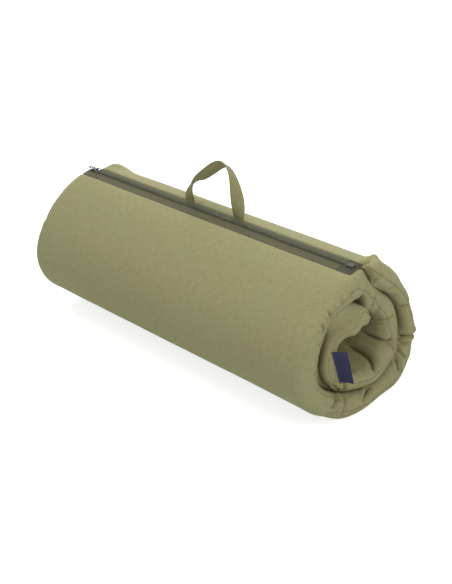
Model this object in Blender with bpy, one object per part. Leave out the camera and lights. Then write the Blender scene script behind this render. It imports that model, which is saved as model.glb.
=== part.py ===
"""Travel mattress, rolled up and zipped into a carrying roll.

A flat foam mattress in a canvas cover is rolled about two turns round a hollow.
The roll's axis lies along X and the roll rests on the plane z = 0. A full-length
coil zipper along the top joins the mattress's outer end to the turn in front of it,
which keeps the roll closed. The carry handle is sewn in beside the zipper.

Angles round the roll are counted from the top towards +Y. "Depth" is the distance
from the roll's outer surface towards its centre, and "turns" are counted from the
zipper line, round towards +Y and inwards. The zipper is in front of the top (-Y).
"""

import math

import bmesh
import bpy
from mathutils import Matrix, Vector

MM = 0.001

# Roll: the mattress is 600 mm wide, and its width, drawn in a little, is the length of the roll
ROLL_LENGTH = 596 * MM
ROLL_RADIUS = 117.7 * MM
SAG = 0.087                     # the roll is this much wider than it is round
SAG_ANGLE = 109.5               # degrees, the way the wide axis leans
EGG = 0.077                     # three-cornered share of the section
EGG_ANGLE = 10.0
ZIP_ANGLE = -6.0                # degrees, where the zipper line lies
FOOT_SWELL = 13.5 * MM          # the roll spreads on the ground between these angles
FOOT_SPAN = (165.0, 230.0)
FOOT_ANGLES = (154.5, 162.0, 185.5, 193.0)  # it rests on two flat bands between these
FLOOR_CUT = 0.5 * MM            # the bands are flat to this depth

# Layer: the foam with its cover, squeezed by the rolling
LAYER = 33.5 * MM
LAYER_TOP_EXTRA = 3.0 * MM      # squeezed less at the top than under the roll's weight
LAYER_FRONT_EXTRA = 3.0 * MM
INNER_END_SWELL = 20.0 * MM     # the free inner end springs open
SWELL_TURNS = (1.76, 1.88)
TURN_GAP = 0.8 * MM             # between one turn and the next
COVER = 1.0 * MM
FIT_GAP = 0.3 * MM
FOAM_END_GAP = 3.5 * MM         # the foam stops this far inside the cover's side
TIP_TURNS = (2.00, 2.13)        # the inner end closes to its seam over this stretch
HOLLOW_RADIUS = 15.0 * MM       # the inner end leaves at least this much of the hollow
TIP_RADIUS = 40.0 * MM          # how far the inner end lies from the roll's centre
FOAM_START_S = 22.0 * MM
FOAM_END_TURN = 2.07
FOAM_DIP = 2.3 * MM             # the foam lies this much lower where the strap is sewn
FOAM_DIP_S = (44.0 * MM, 60.0 * MM)
FOAM_TUCK_S = -38.0 * MM        # and it dips under the front tape from here

# Sides. The turns were rolled unevenly, so each side stands in and rounds off differently on its
# way round. Each row is the turn, how far in the side's seam stands (mm), the length over which
# the side rounds off to it (mm), and the seam's place from the outer face (0) to the inner one (1)
NEAR_SIDE = [
    (0.00, 9, 13, 0.50), (0.20, 14, 17, 0.50), (0.42, 0, 17, 0.48), (0.62, 5, 17, 0.45),
    (0.80, 13, 17, 0.45), (0.89, 14, 17, 0.35), (0.98, 14, 9, 0.50), (1.15, 20, 17, 0.62),
    (1.27, 20, 17, 0.66), (1.45, 8, 17, 0.74), (1.64, 9, 17, 0.70), (1.83, 16, 17, 0.42),
    (2.16, 12, 17, 0.45),
]
FAR_SIDE = [
    (0.00, 0, 18, 0.45), (0.30, 4, 22, 0.45), (0.60, 0, 22, 0.42), (0.95, 0, 20, 0.45),
    (1.20, 6, 20, 0.50), (1.50, 2, 20, 0.55), (1.80, 6, 20, 0.50), (2.16, 3, 20, 0.50),
]

# Zipper, with S the distance along the surface from the zipper line, + towards the back
TAPE_THICK = 0.6 * MM
TAPE_DEPTH = 1.3 * MM
TAPE_INNER_S = 1.1 * MM
TAPE_FRONT_S = -17.5 * MM
TAPE_BACK_S = 13.5 * MM
ZIP_FAR_X = -281.0 * MM
ZIP_NEAR_X = 275.0 * MM
WRAP_START_S = 17.0 * MM        # the wrap panel runs round from here
WRAP_END_S = -17.8 * MM         # and ends here, along the front tape's edge
LIP_S = 6.0 * MM                # edge of the mattress's outer end, under the back tape
DIVE_LENGTH = 52.0 * MM         # the inner turn dives under the outer end over this
CHANNEL_DEPTH = 3.6 * MM        # room for the slider's lower wing
CHANNEL_S = -5.5 * MM           # the cover is down to the channel here
TUCK_DEPTH = 2.4 * MM
COIL_WIDTH = 2.0 * MM
COIL_HEIGHT = 1.9 * MM
COIL_SLIT = 1.6 * MM            # the slider's neck runs in the slit between the coils
COIL_FAR_X = -274.0 * MM
COIL_NEAR_X = 252.0 * MM
STOP_LENGTH = 4.0 * MM
PIN_NEAR_X = 268.0 * MM         # insertion pin on the back tape, held by the retainer box
BOX_FAR_X = 260.0 * MM
BOX_LENGTH = 10.0 * MM
BOX_WIDTH = 8.0 * MM
BOX_HEIGHT = 2.6 * MM
FILM_FAR_X = 252.0 * MM
FILM_THICK = 0.3 * MM

# Slider at the far end, where the closed zipper holds it
SLIDER_X = -263.0 * MM
SLIDER_LENGTH = 12.0 * MM
SLIDER_WIDTH = 9.0 * MM
WING = 1.0 * MM
FLANGE = 0.9 * MM
SLIDER_TAPER = 0.9
WING_GAP = 0.4 * MM             # from the coils' top, and under the tapes
WING_CORNER = 1.2 * MM
NECK_WIDTH = 1.0 * MM
NECK_LENGTH = 4.0 * MM
CROWN_WIDTH = 2.0 * MM
CROWN_HALF_LENGTH = 3.6 * MM
CROWN_HEIGHT = 3.0 * MM
CROWN_BAR = 0.9 * MM
CROWN_LEG = 1.0 * MM
CROWN_FILLET = 0.6 * MM
PIVOT_RADIUS = 0.65 * MM
PULL_LENGTH = 20.0 * MM
PULL_WIDTH = 6.5 * MM
PULL_THICK = 1.2 * MM
PULL_EYE_WIDTH = 3.4 * MM
PULL_EYE_LENGTH = 5.6 * MM

# Handle strap
STRAP_WIDTH = 20.0 * MM
STRAP_THICK = 2.0 * MM
STRAP_S = 15.3 * MM
STRAP_AXIS_HEIGHT = 1.0 * MM    # the strap bends on a line this far above the cover
STRAP_TUCK = 24.0 * MM          # length sewn under the wrap panel
STRAP_STEPS = 4
LEAST_REACH = 0.05 * MM         # half the thickness left at the bottom of its round ends
# Middle line of the strap: x (mm), height above its bending line (mm), and the degrees by which the
# strap is twisted there, 0 where its width lies along the roll and 90 where it lies across it
STRAP_ROUTE = [
    (-57, 0, 0), (-57, 9, 10), (-52.5, 20, 38), (-47.5, 29, 75), (-34, 41, 120), (-14, 57, 135),
    (2, 69, 135), (16, 75, 128), (27, 69, 118), (35, 54, 98), (41, 34, 66), (45, 14, 28), (46, 0, 0),
]

# Label, sewn into the inner turn's side seam at the near end
LABEL_LENGTH = 60.0 * MM
LABEL_WIDTH = 22.0 * MM
LABEL_LIFT = 20.0               # degrees by which its free edge stands off the turn's side
LABEL_THICK = 0.6 * MM
LABEL_TURNS = (1.67, 1.80)      # its sewn edge runs along the seam between these

# Where the layers are cut into faces
SIDE_STEPS = 3
ARC_STEP = 25.0 * MM
BESIDE_ZIP = (-38, -28, -17.5, -5.5, 0, 6, 13.5, 17, 26, 35, 44, 60)  # mm from the zipper line
AT_TIP = (2.09, 2.103)          # turns
LEAST_STEP = 0.002


def smooth(value):
    """Ease from 0 to 1."""
    value = min(max(value, 0.0), 1.0)
    return value * value * (3.0 - 2.0 * value)


def section_radius(angle, depth=0.0):
    """Distance from the roll's centre at an angle in degrees. Inner turns are rounder."""
    round_part = ROLL_RADIUS - depth
    fade = max(round_part / ROLL_RADIUS, 0.0)
    lean = math.cos(math.radians(2.0 * (angle - SAG_ANGLE)))
    corners = math.cos(math.radians(3.0 * (angle - EGG_ANGLE)))
    bent = ROLL_RADIUS * (SAG * lean * fade ** 0.5 + EGG * corners * fade ** 2)
    foot_start, foot_end = FOOT_SPAN
    share = min(max((angle % 360.0 - foot_start) / (foot_end - foot_start), 0.0), 1.0)
    return round_part + bent + FOOT_SWELL * math.sin(math.pi * share) ** 2 * fade ** 4


ZIP_RADIUS = section_radius(ZIP_ANGLE)


def turn_of(distance, turn=0):
    """Turns at a distance from the zipper line along the outer surface."""
    return turn + distance / (2.0 * math.pi * ZIP_RADIUS)


def angle_of(turn):
    return ZIP_ANGLE + 360.0 * turn


def tip_share(turn):
    """0 up to where the inner end starts to close, and 1 at its seam."""
    tip_start, tip_end = TIP_TURNS
    return min(max((turn - tip_start) / (tip_end - tip_start), 0.0), 1.0)


def thickness(turn):
    angle = math.radians(angle_of(turn))
    swell_start, swell_end = SWELL_TURNS
    swell = INNER_END_SWELL * smooth((turn - swell_start) / (swell_end - swell_start))
    return LAYER + LAYER_TOP_EXTRA * math.cos(angle) - LAYER_FRONT_EXTRA * math.sin(angle) + swell


def crevice(turn):
    """Depth of the underside of the mattress's outer end, a wedge that starts at its lip."""
    distance = (turn - turn_of(LIP_S)) / (turn_of(DIVE_LENGTH) - turn_of(0))
    return CHANNEL_DEPTH + (thickness(turn) - CHANNEL_DEPTH) * smooth(distance)


TUCK_TURN = turn_of(TAPE_FRONT_S, 1)


def cover_outer(turn):
    """Depth of the layer's outer face."""
    if turn < TUCK_TURN:
        return 0.0
    if turn < turn_of(LIP_S, 1):
        dip = smooth((turn - TUCK_TURN) / (turn_of(CHANNEL_S, 1) - TUCK_TURN))
        return TUCK_DEPTH + (CHANNEL_DEPTH + 0.5 * TURN_GAP - TUCK_DEPTH) * dip
    return cover_inner(turn - 1.0) + TURN_GAP


def cover_inner(turn):
    """Depth of the layer's inner face."""
    if turn < turn_of(LIP_S + DIVE_LENGTH):
        return crevice(turn)
    outer = cover_outer(turn)
    full = min(thickness(turn), ROLL_RADIUS - HOLLOW_RADIUS - outer)
    return outer + full * math.sqrt(1.0 - tip_share(turn) ** 2)


def foam_outer(turn):
    """Depth of the foam's outer face. It dips beside the zipper, where the strap is sewn."""
    skin = COVER + FIT_GAP
    if turn < 0.5:
        dip_start, dip_end = (turn_of(s) for s in FOAM_DIP_S)
        return skin + FOAM_DIP * (1.0 - smooth((turn - dip_start) / (dip_end - dip_start)))
    if turn < TUCK_TURN:
        start = turn_of(FOAM_TUCK_S, 1)
        return skin + TUCK_DEPTH * smooth((turn - start) / (TUCK_TURN - start))
    return cover_outer(turn) + skin


def at(x, turn, depth):
    """World point on the roll."""
    angle = angle_of(turn)
    radius = section_radius(angle, depth)
    y = CENTRE_Y + radius * math.sin(math.radians(angle))
    z = CENTRE_Z + radius * math.cos(math.radians(angle))
    return Vector((x, y, max(z, 0.0)))


def stations(start, end):
    """Turns at which the layers are cut, the same places in each turn so that they nest."""
    first_turn = [turn_of(s * MM) for s in BESIDE_ZIP]
    foot = [(angle - ZIP_ANGLE) / 360.0 for angle in FOOT_ANGLES]
    fixed = [first_turn[-1]] + foot + [1.0 + first_turn[0]]
    around = []
    for here, there in zip(fixed, fixed[1:]):
        count = math.ceil((there - here) * 2.0 * math.pi * ROLL_RADIUS / ARC_STEP)
        around += [here + (there - here) * step / count for step in range(1, count + 1)]
    one_turn = first_turn + around[:-1]
    every = sorted([t + k for k in range(3) for t in one_turn] + list(AT_TIP))
    inside = [t for t in every if start + LEAST_STEP < t < end - LEAST_STEP]
    return [start] + inside + [end]


def centre_of_section():
    """Centre's y and z that put the section's middle on y = 0 and its foot under z = 0."""
    angles = [angle_of(turn) for turn in stations(turn_of(WRAP_START_S), turn_of(WRAP_END_S, 1))]
    sides = [section_radius(a) * math.sin(math.radians(a)) for a in angles]
    heights = [section_radius(a) * math.cos(math.radians(a)) for a in angles]
    return -0.5 * (min(sides) + max(sides)), -FLOOR_CUT - min(heights)


CENTRE_Y, CENTRE_Z = centre_of_section()


def side_shape(turn, near):
    """How far in the side's seam stands, the length it rounds over, and the seam's share of the depth."""
    rows = NEAR_SIDE if near else FAR_SIDE
    reached = max(k for k, row in enumerate(rows[:-1]) if k == 0 or row[0] <= turn)
    here, there = rows[reached], rows[reached + 1]
    ease = smooth((turn - here[0]) / (there[0] - here[0]))
    step_in, rounding, share = (a + (b - a) * ease for a, b in zip(here[1:], there[1:]))
    return step_in * MM, rounding * MM, share


def side_place(column, inset, turn):
    """x, closing factor and seam share of a column of the layer, from the far side to the near one."""
    near = column > SIDE_STEPS
    step = column - SIDE_STEPS - 1 if near else SIDE_STEPS - column
    step_in, rounding, share = side_shape(turn, near)
    angle = math.radians(90.0 * step / SIDE_STEPS)
    x = 0.5 * ROLL_LENGTH - step_in - rounding + (rounding - inset) * math.sin(angle)
    return (x if near else -x), math.cos(angle), share


def layer_grid(turns, inset, face, outer_of, inner_of, seam):
    """Points of one face of the layer: face is -1 for the outer one, +1 for the inner."""
    grid = []
    for turn in turns:
        place = turn - tip_share(turn) ** 4 * inset / (2.0 * math.pi * TIP_RADIUS)
        outer = outer_of(turn)
        inner = inner_of(turn)
        row = []
        for column in range(2 * SIDE_STEPS + 2):
            x, open_share, share = side_place(column, inset, turn)
            seam_depth = outer + share * (inner - outer)
            rise = seam_depth - outer if face < 0 else inner - seam_depth
            height = max(rise * open_share, seam)
            row.append(at(x, place, seam_depth + face * height))
        grid.append(row)
    return grid


def mesh_object(name, points, faces, material, smooth_angle=40.0):
    mesh = bpy.data.meshes.new(name)
    mesh.from_pydata([tuple(p) for p in points], [], faces)
    bm = bmesh.new()
    bm.from_mesh(mesh)
    bmesh.ops.remove_doubles(bm, verts=bm.verts, dist=0.00001)
    bmesh.ops.dissolve_degenerate(bm, edges=bm.edges, dist=0.00001)
    bmesh.ops.recalc_face_normals(bm, faces=bm.faces)
    bm.to_mesh(mesh)
    bm.free()
    mesh.shade_smooth()
    mesh.set_sharp_from_angle(angle=math.radians(smooth_angle))
    mesh.materials.append(material)
    obj = bpy.data.objects.new(name, mesh)
    bpy.context.scene.collection.objects.link(obj)
    return obj


def solid_between(name, top, bottom, material):
    """Closed solid between two grids of points of the same size."""
    rows = len(top)
    columns = len(top[0])
    points = [p for row in top for p in row] + [p for row in bottom for p in row]
    half = rows * columns

    def index(row, column, side):
        return side * half + row * columns + column

    faces = []
    for row in range(rows - 1):
        for column in range(columns - 1):
            corners = [(row, column), (row, column + 1), (row + 1, column + 1), (row + 1, column)]
            faces.append([index(r, c, 0) for r, c in corners])
            faces.append([index(r, c, 1) for r, c in reversed(corners)])
    edge = [(0, c) for c in range(columns)]
    edge += [(r, columns - 1) for r in range(1, rows)]
    edge += [(rows - 1, c) for c in range(columns - 2, -1, -1)]
    edge += [(r, 0) for r in range(rows - 2, 0, -1)]
    for here, there in zip(edge, edge[1:] + edge[:1]):
        faces.append([index(*here, 0), index(*here, 1), index(*there, 1), index(*there, 0)])
    return mesh_object(name, points, faces, material)


def material(name, colour, roughness, metallic=0.0):
    made = bpy.data.materials.new(name)
    made.use_nodes = True
    shader = made.node_tree.nodes["Principled BSDF"]
    shader.inputs["Base Color"].default_value = (*colour, 1.0)
    shader.inputs["Roughness"].default_value = roughness
    shader.inputs["Metallic"].default_value = metallic
    return made


def cover_panel(name, start, end, face, outer_of, canvas):
    """One canvas panel on the outer (-1) or inner (+1) face of the layer."""
    turns = stations(start, end)
    outside = layer_grid(turns, 0.0, face, outer_of, cover_inner, 0.5 * FIT_GAP)

    def raised_outer(turn):
        return outer_of(turn) + COVER

    def raised_inner(turn):
        return cover_inner(turn) - COVER

    inside = layer_grid(turns, COVER, face, raised_outer, raised_inner, 0.5 * FIT_GAP)
    return solid_between(name, outside, inside, canvas)


def foam_core(foam):
    def inner(turn):
        return cover_inner(turn) - COVER - FIT_GAP

    turns = stations(turn_of(FOAM_START_S), FOAM_END_TURN)
    outer_face = layer_grid(turns, FOAM_END_GAP, -1, foam_outer, inner, 0.0)
    inner_face = layer_grid(turns, FOAM_END_GAP, 1, foam_outer, inner, 0.0)
    return solid_between("foam_core", outer_face, inner_face, foam)


def no_depth(turn):
    """The wrap panel lies at the roll's surface all round."""
    return 0.0


def strip(name, start_s, end_s, top, bottom, far_x, near_x, made_of, turn=0):
    """Flat piece that follows the roll's surface between two distances from the zipper."""
    middle = 0.5 * (start_s + end_s)
    turns = [turn_of(s, turn) for s in (start_s, middle, end_s)]
    above = [[at(x, t, top) for x in (far_x, near_x)] for t in turns]
    below = [[at(x, t, bottom) for x in (far_x, near_x)] for t in turns]
    return solid_between(name, above, below, made_of)


def zip_frame(x, distance=0.0, height=0.0):
    """Matrix whose X runs along the zipper, Y across it towards the back and Z outwards."""
    before = at(x, turn_of(distance - 5 * MM), 0.0)
    after = at(x, turn_of(distance + 5 * MM), 0.0)
    across = (after - before).normalized()
    along = Vector((1.0, 0.0, 0.0))
    out = along.cross(across)
    place = at(x, turn_of(distance), 0.0) + out * height
    return Matrix.Translation(place) @ Matrix((along, across, out)).transposed().to_4x4()


def box_into(bm, low, high):
    """Add a box between two corners."""
    size = [h - l for l, h in zip(low, high)]
    middle = [0.5 * (l + h) for l, h in zip(low, high)]
    matrix = Matrix.Translation(middle) @ Matrix.Diagonal((*size, 1.0))
    bmesh.ops.create_cube(bm, size=1.0, matrix=matrix)


def bmesh_object(name, bm, frame, made_of, bevel=0.0, smooth_angle=40.0):
    mesh = bpy.data.meshes.new(name)
    bm.to_mesh(mesh)
    bm.free()
    mesh.shade_smooth()
    mesh.set_sharp_from_angle(angle=math.radians(smooth_angle))
    mesh.materials.append(made_of)
    obj = bpy.data.objects.new(name, mesh)
    obj.matrix_world = frame
    bpy.context.scene.collection.objects.link(obj)
    if bevel > 0.0:
        edge = obj.modifiers.new("Bevel", "BEVEL")
        edge.width = bevel
        edge.segments = 1
        edge.limit_method = "ANGLE"
    return obj


def union(name, parts):
    """Join overlapping shapes into the first of them with Boolean unions."""
    first = parts[0]
    first.name = name
    for other in parts[1:]:
        join = first.modifiers.new("Union", "BOOLEAN")
        join.operation = "UNION"
        join.solver = "EXACT"
        join.object = other
        other.hide_render = True
        other.display_type = "WIRE"
    return first


def outline_into(bm, outline, low, high):
    """Extrude a closed outline of (x, y) points between two heights."""
    verts = [bm.verts.new((x, y, low)) for x, y in outline]
    face = bm.faces.new(verts)
    grown = bmesh.ops.extrude_face_region(bm, geom=[face])
    moved = [v for v in grown["geom"] if isinstance(v, bmesh.types.BMVert)]
    bmesh.ops.translate(bm, verts=moved, vec=(0.0, 0.0, high - low))
    bmesh.ops.recalc_face_normals(bm, faces=bm.faces)


def zipper_tapes(cloth):
    half_slit = TAPE_INNER_S
    top, bottom = TAPE_DEPTH, TAPE_DEPTH + TAPE_THICK
    ends = (ZIP_FAR_X, ZIP_NEAR_X)
    strip("zipper_tape_front", TAPE_FRONT_S, -half_slit, top, bottom, *ends, cloth)
    strip("zipper_tape_back", half_slit, TAPE_BACK_S, top, bottom, *ends, cloth)


def zipper_chain(nylon, metal):
    """Each coil is a plain bar here, with a stop at its far end."""
    low = FIT_GAP - TAPE_DEPTH
    inner = 0.5 * COIL_SLIT
    for name, side in (("front", -1), ("back", 1)):
        bm = bmesh.new()
        sides = sorted((side * inner, side * (inner + COIL_WIDTH)))
        near = BOX_FAR_X - FIT_GAP if side < 0 else COIL_NEAR_X
        box_into(bm, (COIL_FAR_X, sides[0], low), (near, sides[1], low + COIL_HEIGHT))
        bmesh_object(f"zipper_coil_{name}", bm, zip_frame(0.0), nylon, bevel=0.5 * MM)
        bm = bmesh.new()
        stop_near = COIL_FAR_X - FIT_GAP
        stop_low = (stop_near - STOP_LENGTH, sides[0], low)
        box_into(bm, stop_low, (stop_near, sides[1], low + COIL_HEIGHT))
        bmesh_object(f"zipper_top_stop_{name}", bm, zip_frame(0.0), metal, bevel=0.3 * MM)


def zipper_bottom(nylon, film):
    """The near end: a pin on the back tape stands in a box on the front tape."""
    low = FIT_GAP - TAPE_DEPTH
    inner = 0.5 * COIL_SLIT
    pin_top = low + COIL_HEIGHT - 0.4 * MM
    bm = bmesh.new()
    box_into(bm, (COIL_NEAR_X + FIT_GAP, inner, low), (PIN_NEAR_X, inner + COIL_WIDTH, pin_top))
    bmesh_object("zipper_insertion_pin", bm, zip_frame(0.0), nylon, bevel=0.3 * MM)
    bm = bmesh.new()
    near = BOX_FAR_X + BOX_LENGTH
    wall_top = low + BOX_HEIGHT
    half = 0.5 * BOX_WIDTH
    room = FIT_GAP
    pin_low_y = inner - room
    pin_high_y = inner + COIL_WIDTH + room
    profile = [
        (-half, low), (pin_low_y, low), (pin_low_y, pin_top + room), (pin_high_y, pin_top + room),
        (pin_high_y, low), (half, low), (half, wall_top), (-half, wall_top),
    ]
    verts = [bm.verts.new((BOX_FAR_X, y, z)) for y, z in profile]
    grown = bmesh.ops.extrude_face_region(bm, geom=[bm.faces.new(verts)])
    moved = [v for v in grown["geom"] if isinstance(v, bmesh.types.BMVert)]
    bmesh.ops.translate(bm, verts=moved, vec=(near - BOX_FAR_X, 0.0, 0.0))
    bmesh.ops.recalc_face_normals(bm, faces=bm.faces)
    bmesh_object("zipper_retainer_box", bm, zip_frame(0.0), nylon, bevel=0.3 * MM)
    top = TAPE_DEPTH - FIT_GAP - FILM_THICK
    ends = (FILM_FAR_X, ZIP_NEAR_X)
    clear = half + FIT_GAP
    for name, start, end in (("front", TAPE_FRONT_S, -clear), ("back", clear, TAPE_BACK_S)):
        strip(f"zipper_end_film_{name}", start, end, top, top + FILM_THICK, *ends, film)


def slider(metal):
    """Body with an upper and a lower wing joined by a neck that runs between the coils."""
    half_length = 0.5 * SLIDER_LENGTH
    half_width = 0.5 * SLIDER_WIDTH
    coil_top = FIT_GAP - TAPE_DEPTH + COIL_HEIGHT
    wing_low = coil_top + WING_GAP
    wing_top = wing_low + WING
    tape_low = -TAPE_DEPTH - TAPE_THICK
    under_top = tape_low - WING_GAP
    under_low = under_top - WING
    flange_low = -TAPE_DEPTH + 0.5 * MM
    frame = zip_frame(SLIDER_X)
    # The far end holds two throats side by side, so it is the broad one
    broad, narrow = half_width, SLIDER_TAPER * half_width
    corner_x = -half_length + WING_CORNER
    wing = [(-half_length, -broad + WING_CORNER), (corner_x, -broad), (0.0, -broad), (half_length, -narrow)]
    wing += [(x, -y) for x, y in reversed(wing)]
    pieces = []
    for low, high in ((wing_low, wing_top), (under_low, under_top)):
        bm = bmesh.new()
        outline_into(bm, wing, low, high)
        pieces.append(bmesh_object("slider_wing", bm, frame, metal))
    for side in (-1, 1):
        bm = bmesh.new()
        outer = [(corner_x, side * broad), (0.0, side * broad), (half_length, side * narrow)]
        inner = [(x, y - side * FLANGE) for x, y in reversed(outer)]
        outline_into(bm, outer + inner, flange_low, wing_low + 0.2 * MM)
        pieces.append(bmesh_object("slider_flange", bm, frame, metal))
    bm = bmesh.new()
    half_neck = 0.5 * NECK_WIDTH
    neck_far = -half_length + 0.8 * MM
    overlap = 0.3 * MM
    neck_low = (neck_far, -half_neck, under_top - overlap)
    box_into(bm, neck_low, (neck_far + NECK_LENGTH, half_neck, wing_low + overlap))
    pieces.append(bmesh_object("slider_neck", bm, frame, metal))
    body = union("slider_body", pieces)
    crown_foot = wing_top + FIT_GAP
    bm = bmesh.new()
    crown_top = crown_foot + CROWN_HEIGHT
    leg = CROWN_HALF_LENGTH - CROWN_LEG
    far_half = [
        (-CROWN_HALF_LENGTH + CROWN_LEG, crown_top), (-CROWN_HALF_LENGTH, crown_top - CROWN_LEG),
        (-CROWN_HALF_LENGTH, crown_foot), (-leg, crown_foot),
        (-leg, crown_top - CROWN_BAR - CROWN_FILLET), (-leg + CROWN_FILLET, crown_top - CROWN_BAR),
    ]
    arch = far_half + [(-x, z) for x, z in reversed(far_half)]
    outline_into(bm, arch, -0.5 * CROWN_WIDTH, 0.5 * CROWN_WIDTH)
    bmesh.ops.rotate(bm, verts=bm.verts, matrix=Matrix.Rotation(math.radians(90.0), 3, "X"))
    bmesh_object("slider_crown", bm, frame, metal)
    return crown_foot


def pull_tab(metal, crown_foot):
    """Tab whose cross pin turns under the crown. It lies towards the far end."""
    pivot_height = crown_foot + 0.5 * MM + PIVOT_RADIUS
    frame = zip_frame(SLIDER_X, height=pivot_height)
    half = 0.5 * PULL_WIDTH
    half_eye = 0.5 * PULL_EYE_WIDTH
    half_thick = 0.5 * PULL_THICK
    arm_end = 0.9 * MM
    corner = 2.0 * MM
    bm = bmesh.new()
    tab = [(arm_end, -half), (arm_end, -half_eye), (-PULL_EYE_LENGTH, -half_eye)]
    tab += [(x, -y) for x, y in reversed(tab)]
    tab += [
        (-PULL_LENGTH + corner, half), (-PULL_LENGTH, half - corner),
        (-PULL_LENGTH, -half + corner), (-PULL_LENGTH + corner, -half),
    ]
    outline_into(bm, tab, -half_thick, half_thick)
    plate = bmesh_object("pull_plate", bm, frame, metal)
    bm = bmesh.new()
    turned = Matrix.Rotation(math.radians(90.0), 4, "X")
    bmesh.ops.create_cone(
        bm, cap_ends=True, segments=12, radius1=PIVOT_RADIUS, radius2=PIVOT_RADIUS,
        depth=PULL_EYE_WIDTH + 1.0 * MM, matrix=turned,
    )
    pin = bmesh_object("pull_pin", bm, frame, metal)
    union("slider_pull_tab", [plate, pin])
    return frame.translation


def strap_points():
    """Middle points of the strap: a smooth curve through its route, as (x, height, twist)."""
    route = [Vector((x * MM, z * MM, math.radians(twist))) for x, z, twist in STRAP_ROUTE]
    ends = [2 * route[0] - route[1]] + route + [2 * route[-1] - route[-2]]
    points = []
    for a, b, c, d in zip(ends, ends[1:], ends[2:], ends[3:]):
        for step in range(STRAP_STEPS):
            t = step / STRAP_STEPS
            bend = 2 * a - 5 * b + 4 * c - d
            twist = 3 * b - a - 3 * c + d
            points.append(0.5 * (2 * b + (c - a) * t + bend * t * t + twist * t * t * t))
    return points + [route[-1]]


def handle(webbing):
    """The strap's loop, and its two ends that are sewn in under the wrap panel."""
    frame = zip_frame(0.0, STRAP_S, STRAP_AXIS_HEIGHT)
    base = frame.translation
    points = strap_points()
    half_thick = 0.5 * STRAP_THICK
    half_width = 0.5 * STRAP_WIDTH
    front = []
    back = []
    last = len(points) - 1
    for k, point in enumerate(points):
        along = points[min(k + 1, last)] - points[max(k - 1, 0)]
        if k in (0, last):
            along = Vector((0.0, 1.0 if k == 0 else -1.0, 0.0))
        tangent = Vector((along.x, 0.0, along.y)).normalized()
        sideways = Vector((tangent.z, 0.0, -tangent.x))
        width = sideways * math.cos(point.z) + Vector((0.0, -1.0, 0.0)) * math.sin(point.z)
        face = tangent.cross(width)
        place = base + Vector((point.x, 0.0, point.y))
        rows = [place + width * half_width * s for s in (-1.0, 1.0)]
        front.append([p - face * half_thick for p in rows])
        back.append([p + face * half_thick for p in rows])
    round_ends(front, back, base, half_thick)
    solid_between("handle_strap", front, back, webbing)
    for name, x in (("left", STRAP_ROUTE[0][0] * MM), ("right", STRAP_ROUTE[-1][0] * MM)):
        strap_end(f"handle_strap_end_{name}", x, webbing)
    return base


def round_ends(front, back, base, radius):
    """Round the strap's two lower ends about the line that it bends on."""
    for index in (0, -1):
        x_values = [p.x for p in front[index]]
        rows_front = []
        rows_back = []
        for degrees in (30.0, 60.0, 90.0):
            angle = math.radians(degrees)
            z = base.z - radius * math.sin(angle)
            reach = max(radius * math.cos(angle), LEAST_REACH)
            rows_front.append([Vector((x, base.y - reach, z)) for x in x_values])
            rows_back.append([Vector((x, base.y + reach, z)) for x in x_values])
        if index == 0:
            front[:0] = reversed(rows_front)
            back[:0] = reversed(rows_back)
        else:
            front.extend(rows_front)
            back.extend(rows_back)


def strap_end(name, x, webbing):
    """L-shaped end: a short stub beside the tape, and the part sewn under the panel."""
    half_width = 0.5 * STRAP_WIDTH
    half_thick = 0.5 * STRAP_THICK
    low = COVER + FIT_GAP
    stub_top = STRAP_THICK * 0.5 + FIT_GAP - STRAP_AXIS_HEIGHT
    half_turns = turn_of(half_thick)
    start = turn_of(STRAP_S) - half_turns
    stub_end = turn_of(STRAP_S) + half_turns
    end = turn_of(STRAP_S + STRAP_TUCK)
    middle = 0.5 * (stub_end + end)
    section = [
        (start, stub_top), (stub_end, stub_top), (stub_end, low), (middle, low), (end, low),
        (end, low + STRAP_THICK), (middle, low + STRAP_THICK), (start, low + STRAP_THICK),
    ]
    points = [at(px, turn, depth) for px in (x - half_width, x + half_width) for turn, depth in section]
    count = len(section)
    faces = [[0, 1, 2, 7], [2, 3, 6, 7], [3, 4, 5, 6]]
    faces += [[count + i for i in reversed(face)] for face in faces]
    for i in range(count):
        j = (i + 1) % count
        faces.append([i, i + count, j + count, j])
    return mesh_object(name, points, faces, webbing)


def beside_seam(turn):
    """Place of the label's middle plane, just clear of the near side's seam."""
    step_in, _, share = side_shape(turn, True)
    outer = cover_outer(turn)
    x = 0.5 * ROLL_LENGTH - step_in + 2.0 * FIT_GAP + 0.5 * LABEL_THICK
    return at(x, turn, outer + share * (cover_inner(turn) - outer))


def side_label(cloth):
    """Plain woven label, sewn by one long edge into the inner turn's seam."""
    low, high = (beside_seam(turn) for turn in LABEL_TURNS)
    along = (high - low).normalized()
    beside = along.cross(Vector((1.0, 0.0, 0.0))).normalized()
    lift = math.radians(LABEL_LIFT)
    across = beside * math.cos(lift) + beside.cross(along) * math.sin(lift)
    out = across.cross(along)
    middle = 0.5 * (low + high)
    frame = Matrix.Translation(middle) @ Matrix((across, along, out)).transposed().to_4x4()
    bm = bmesh.new()
    half = 0.5 * LABEL_THICK
    box_into(bm, (0.0, -0.5 * LABEL_LENGTH, -half), (LABEL_WIDTH, 0.5 * LABEL_LENGTH, half))
    bmesh_object("side_label", bm, frame, cloth)
    return along, middle


def clear_scene():
    for obj in list(bpy.data.objects):
        bpy.data.objects.remove(obj)


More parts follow.
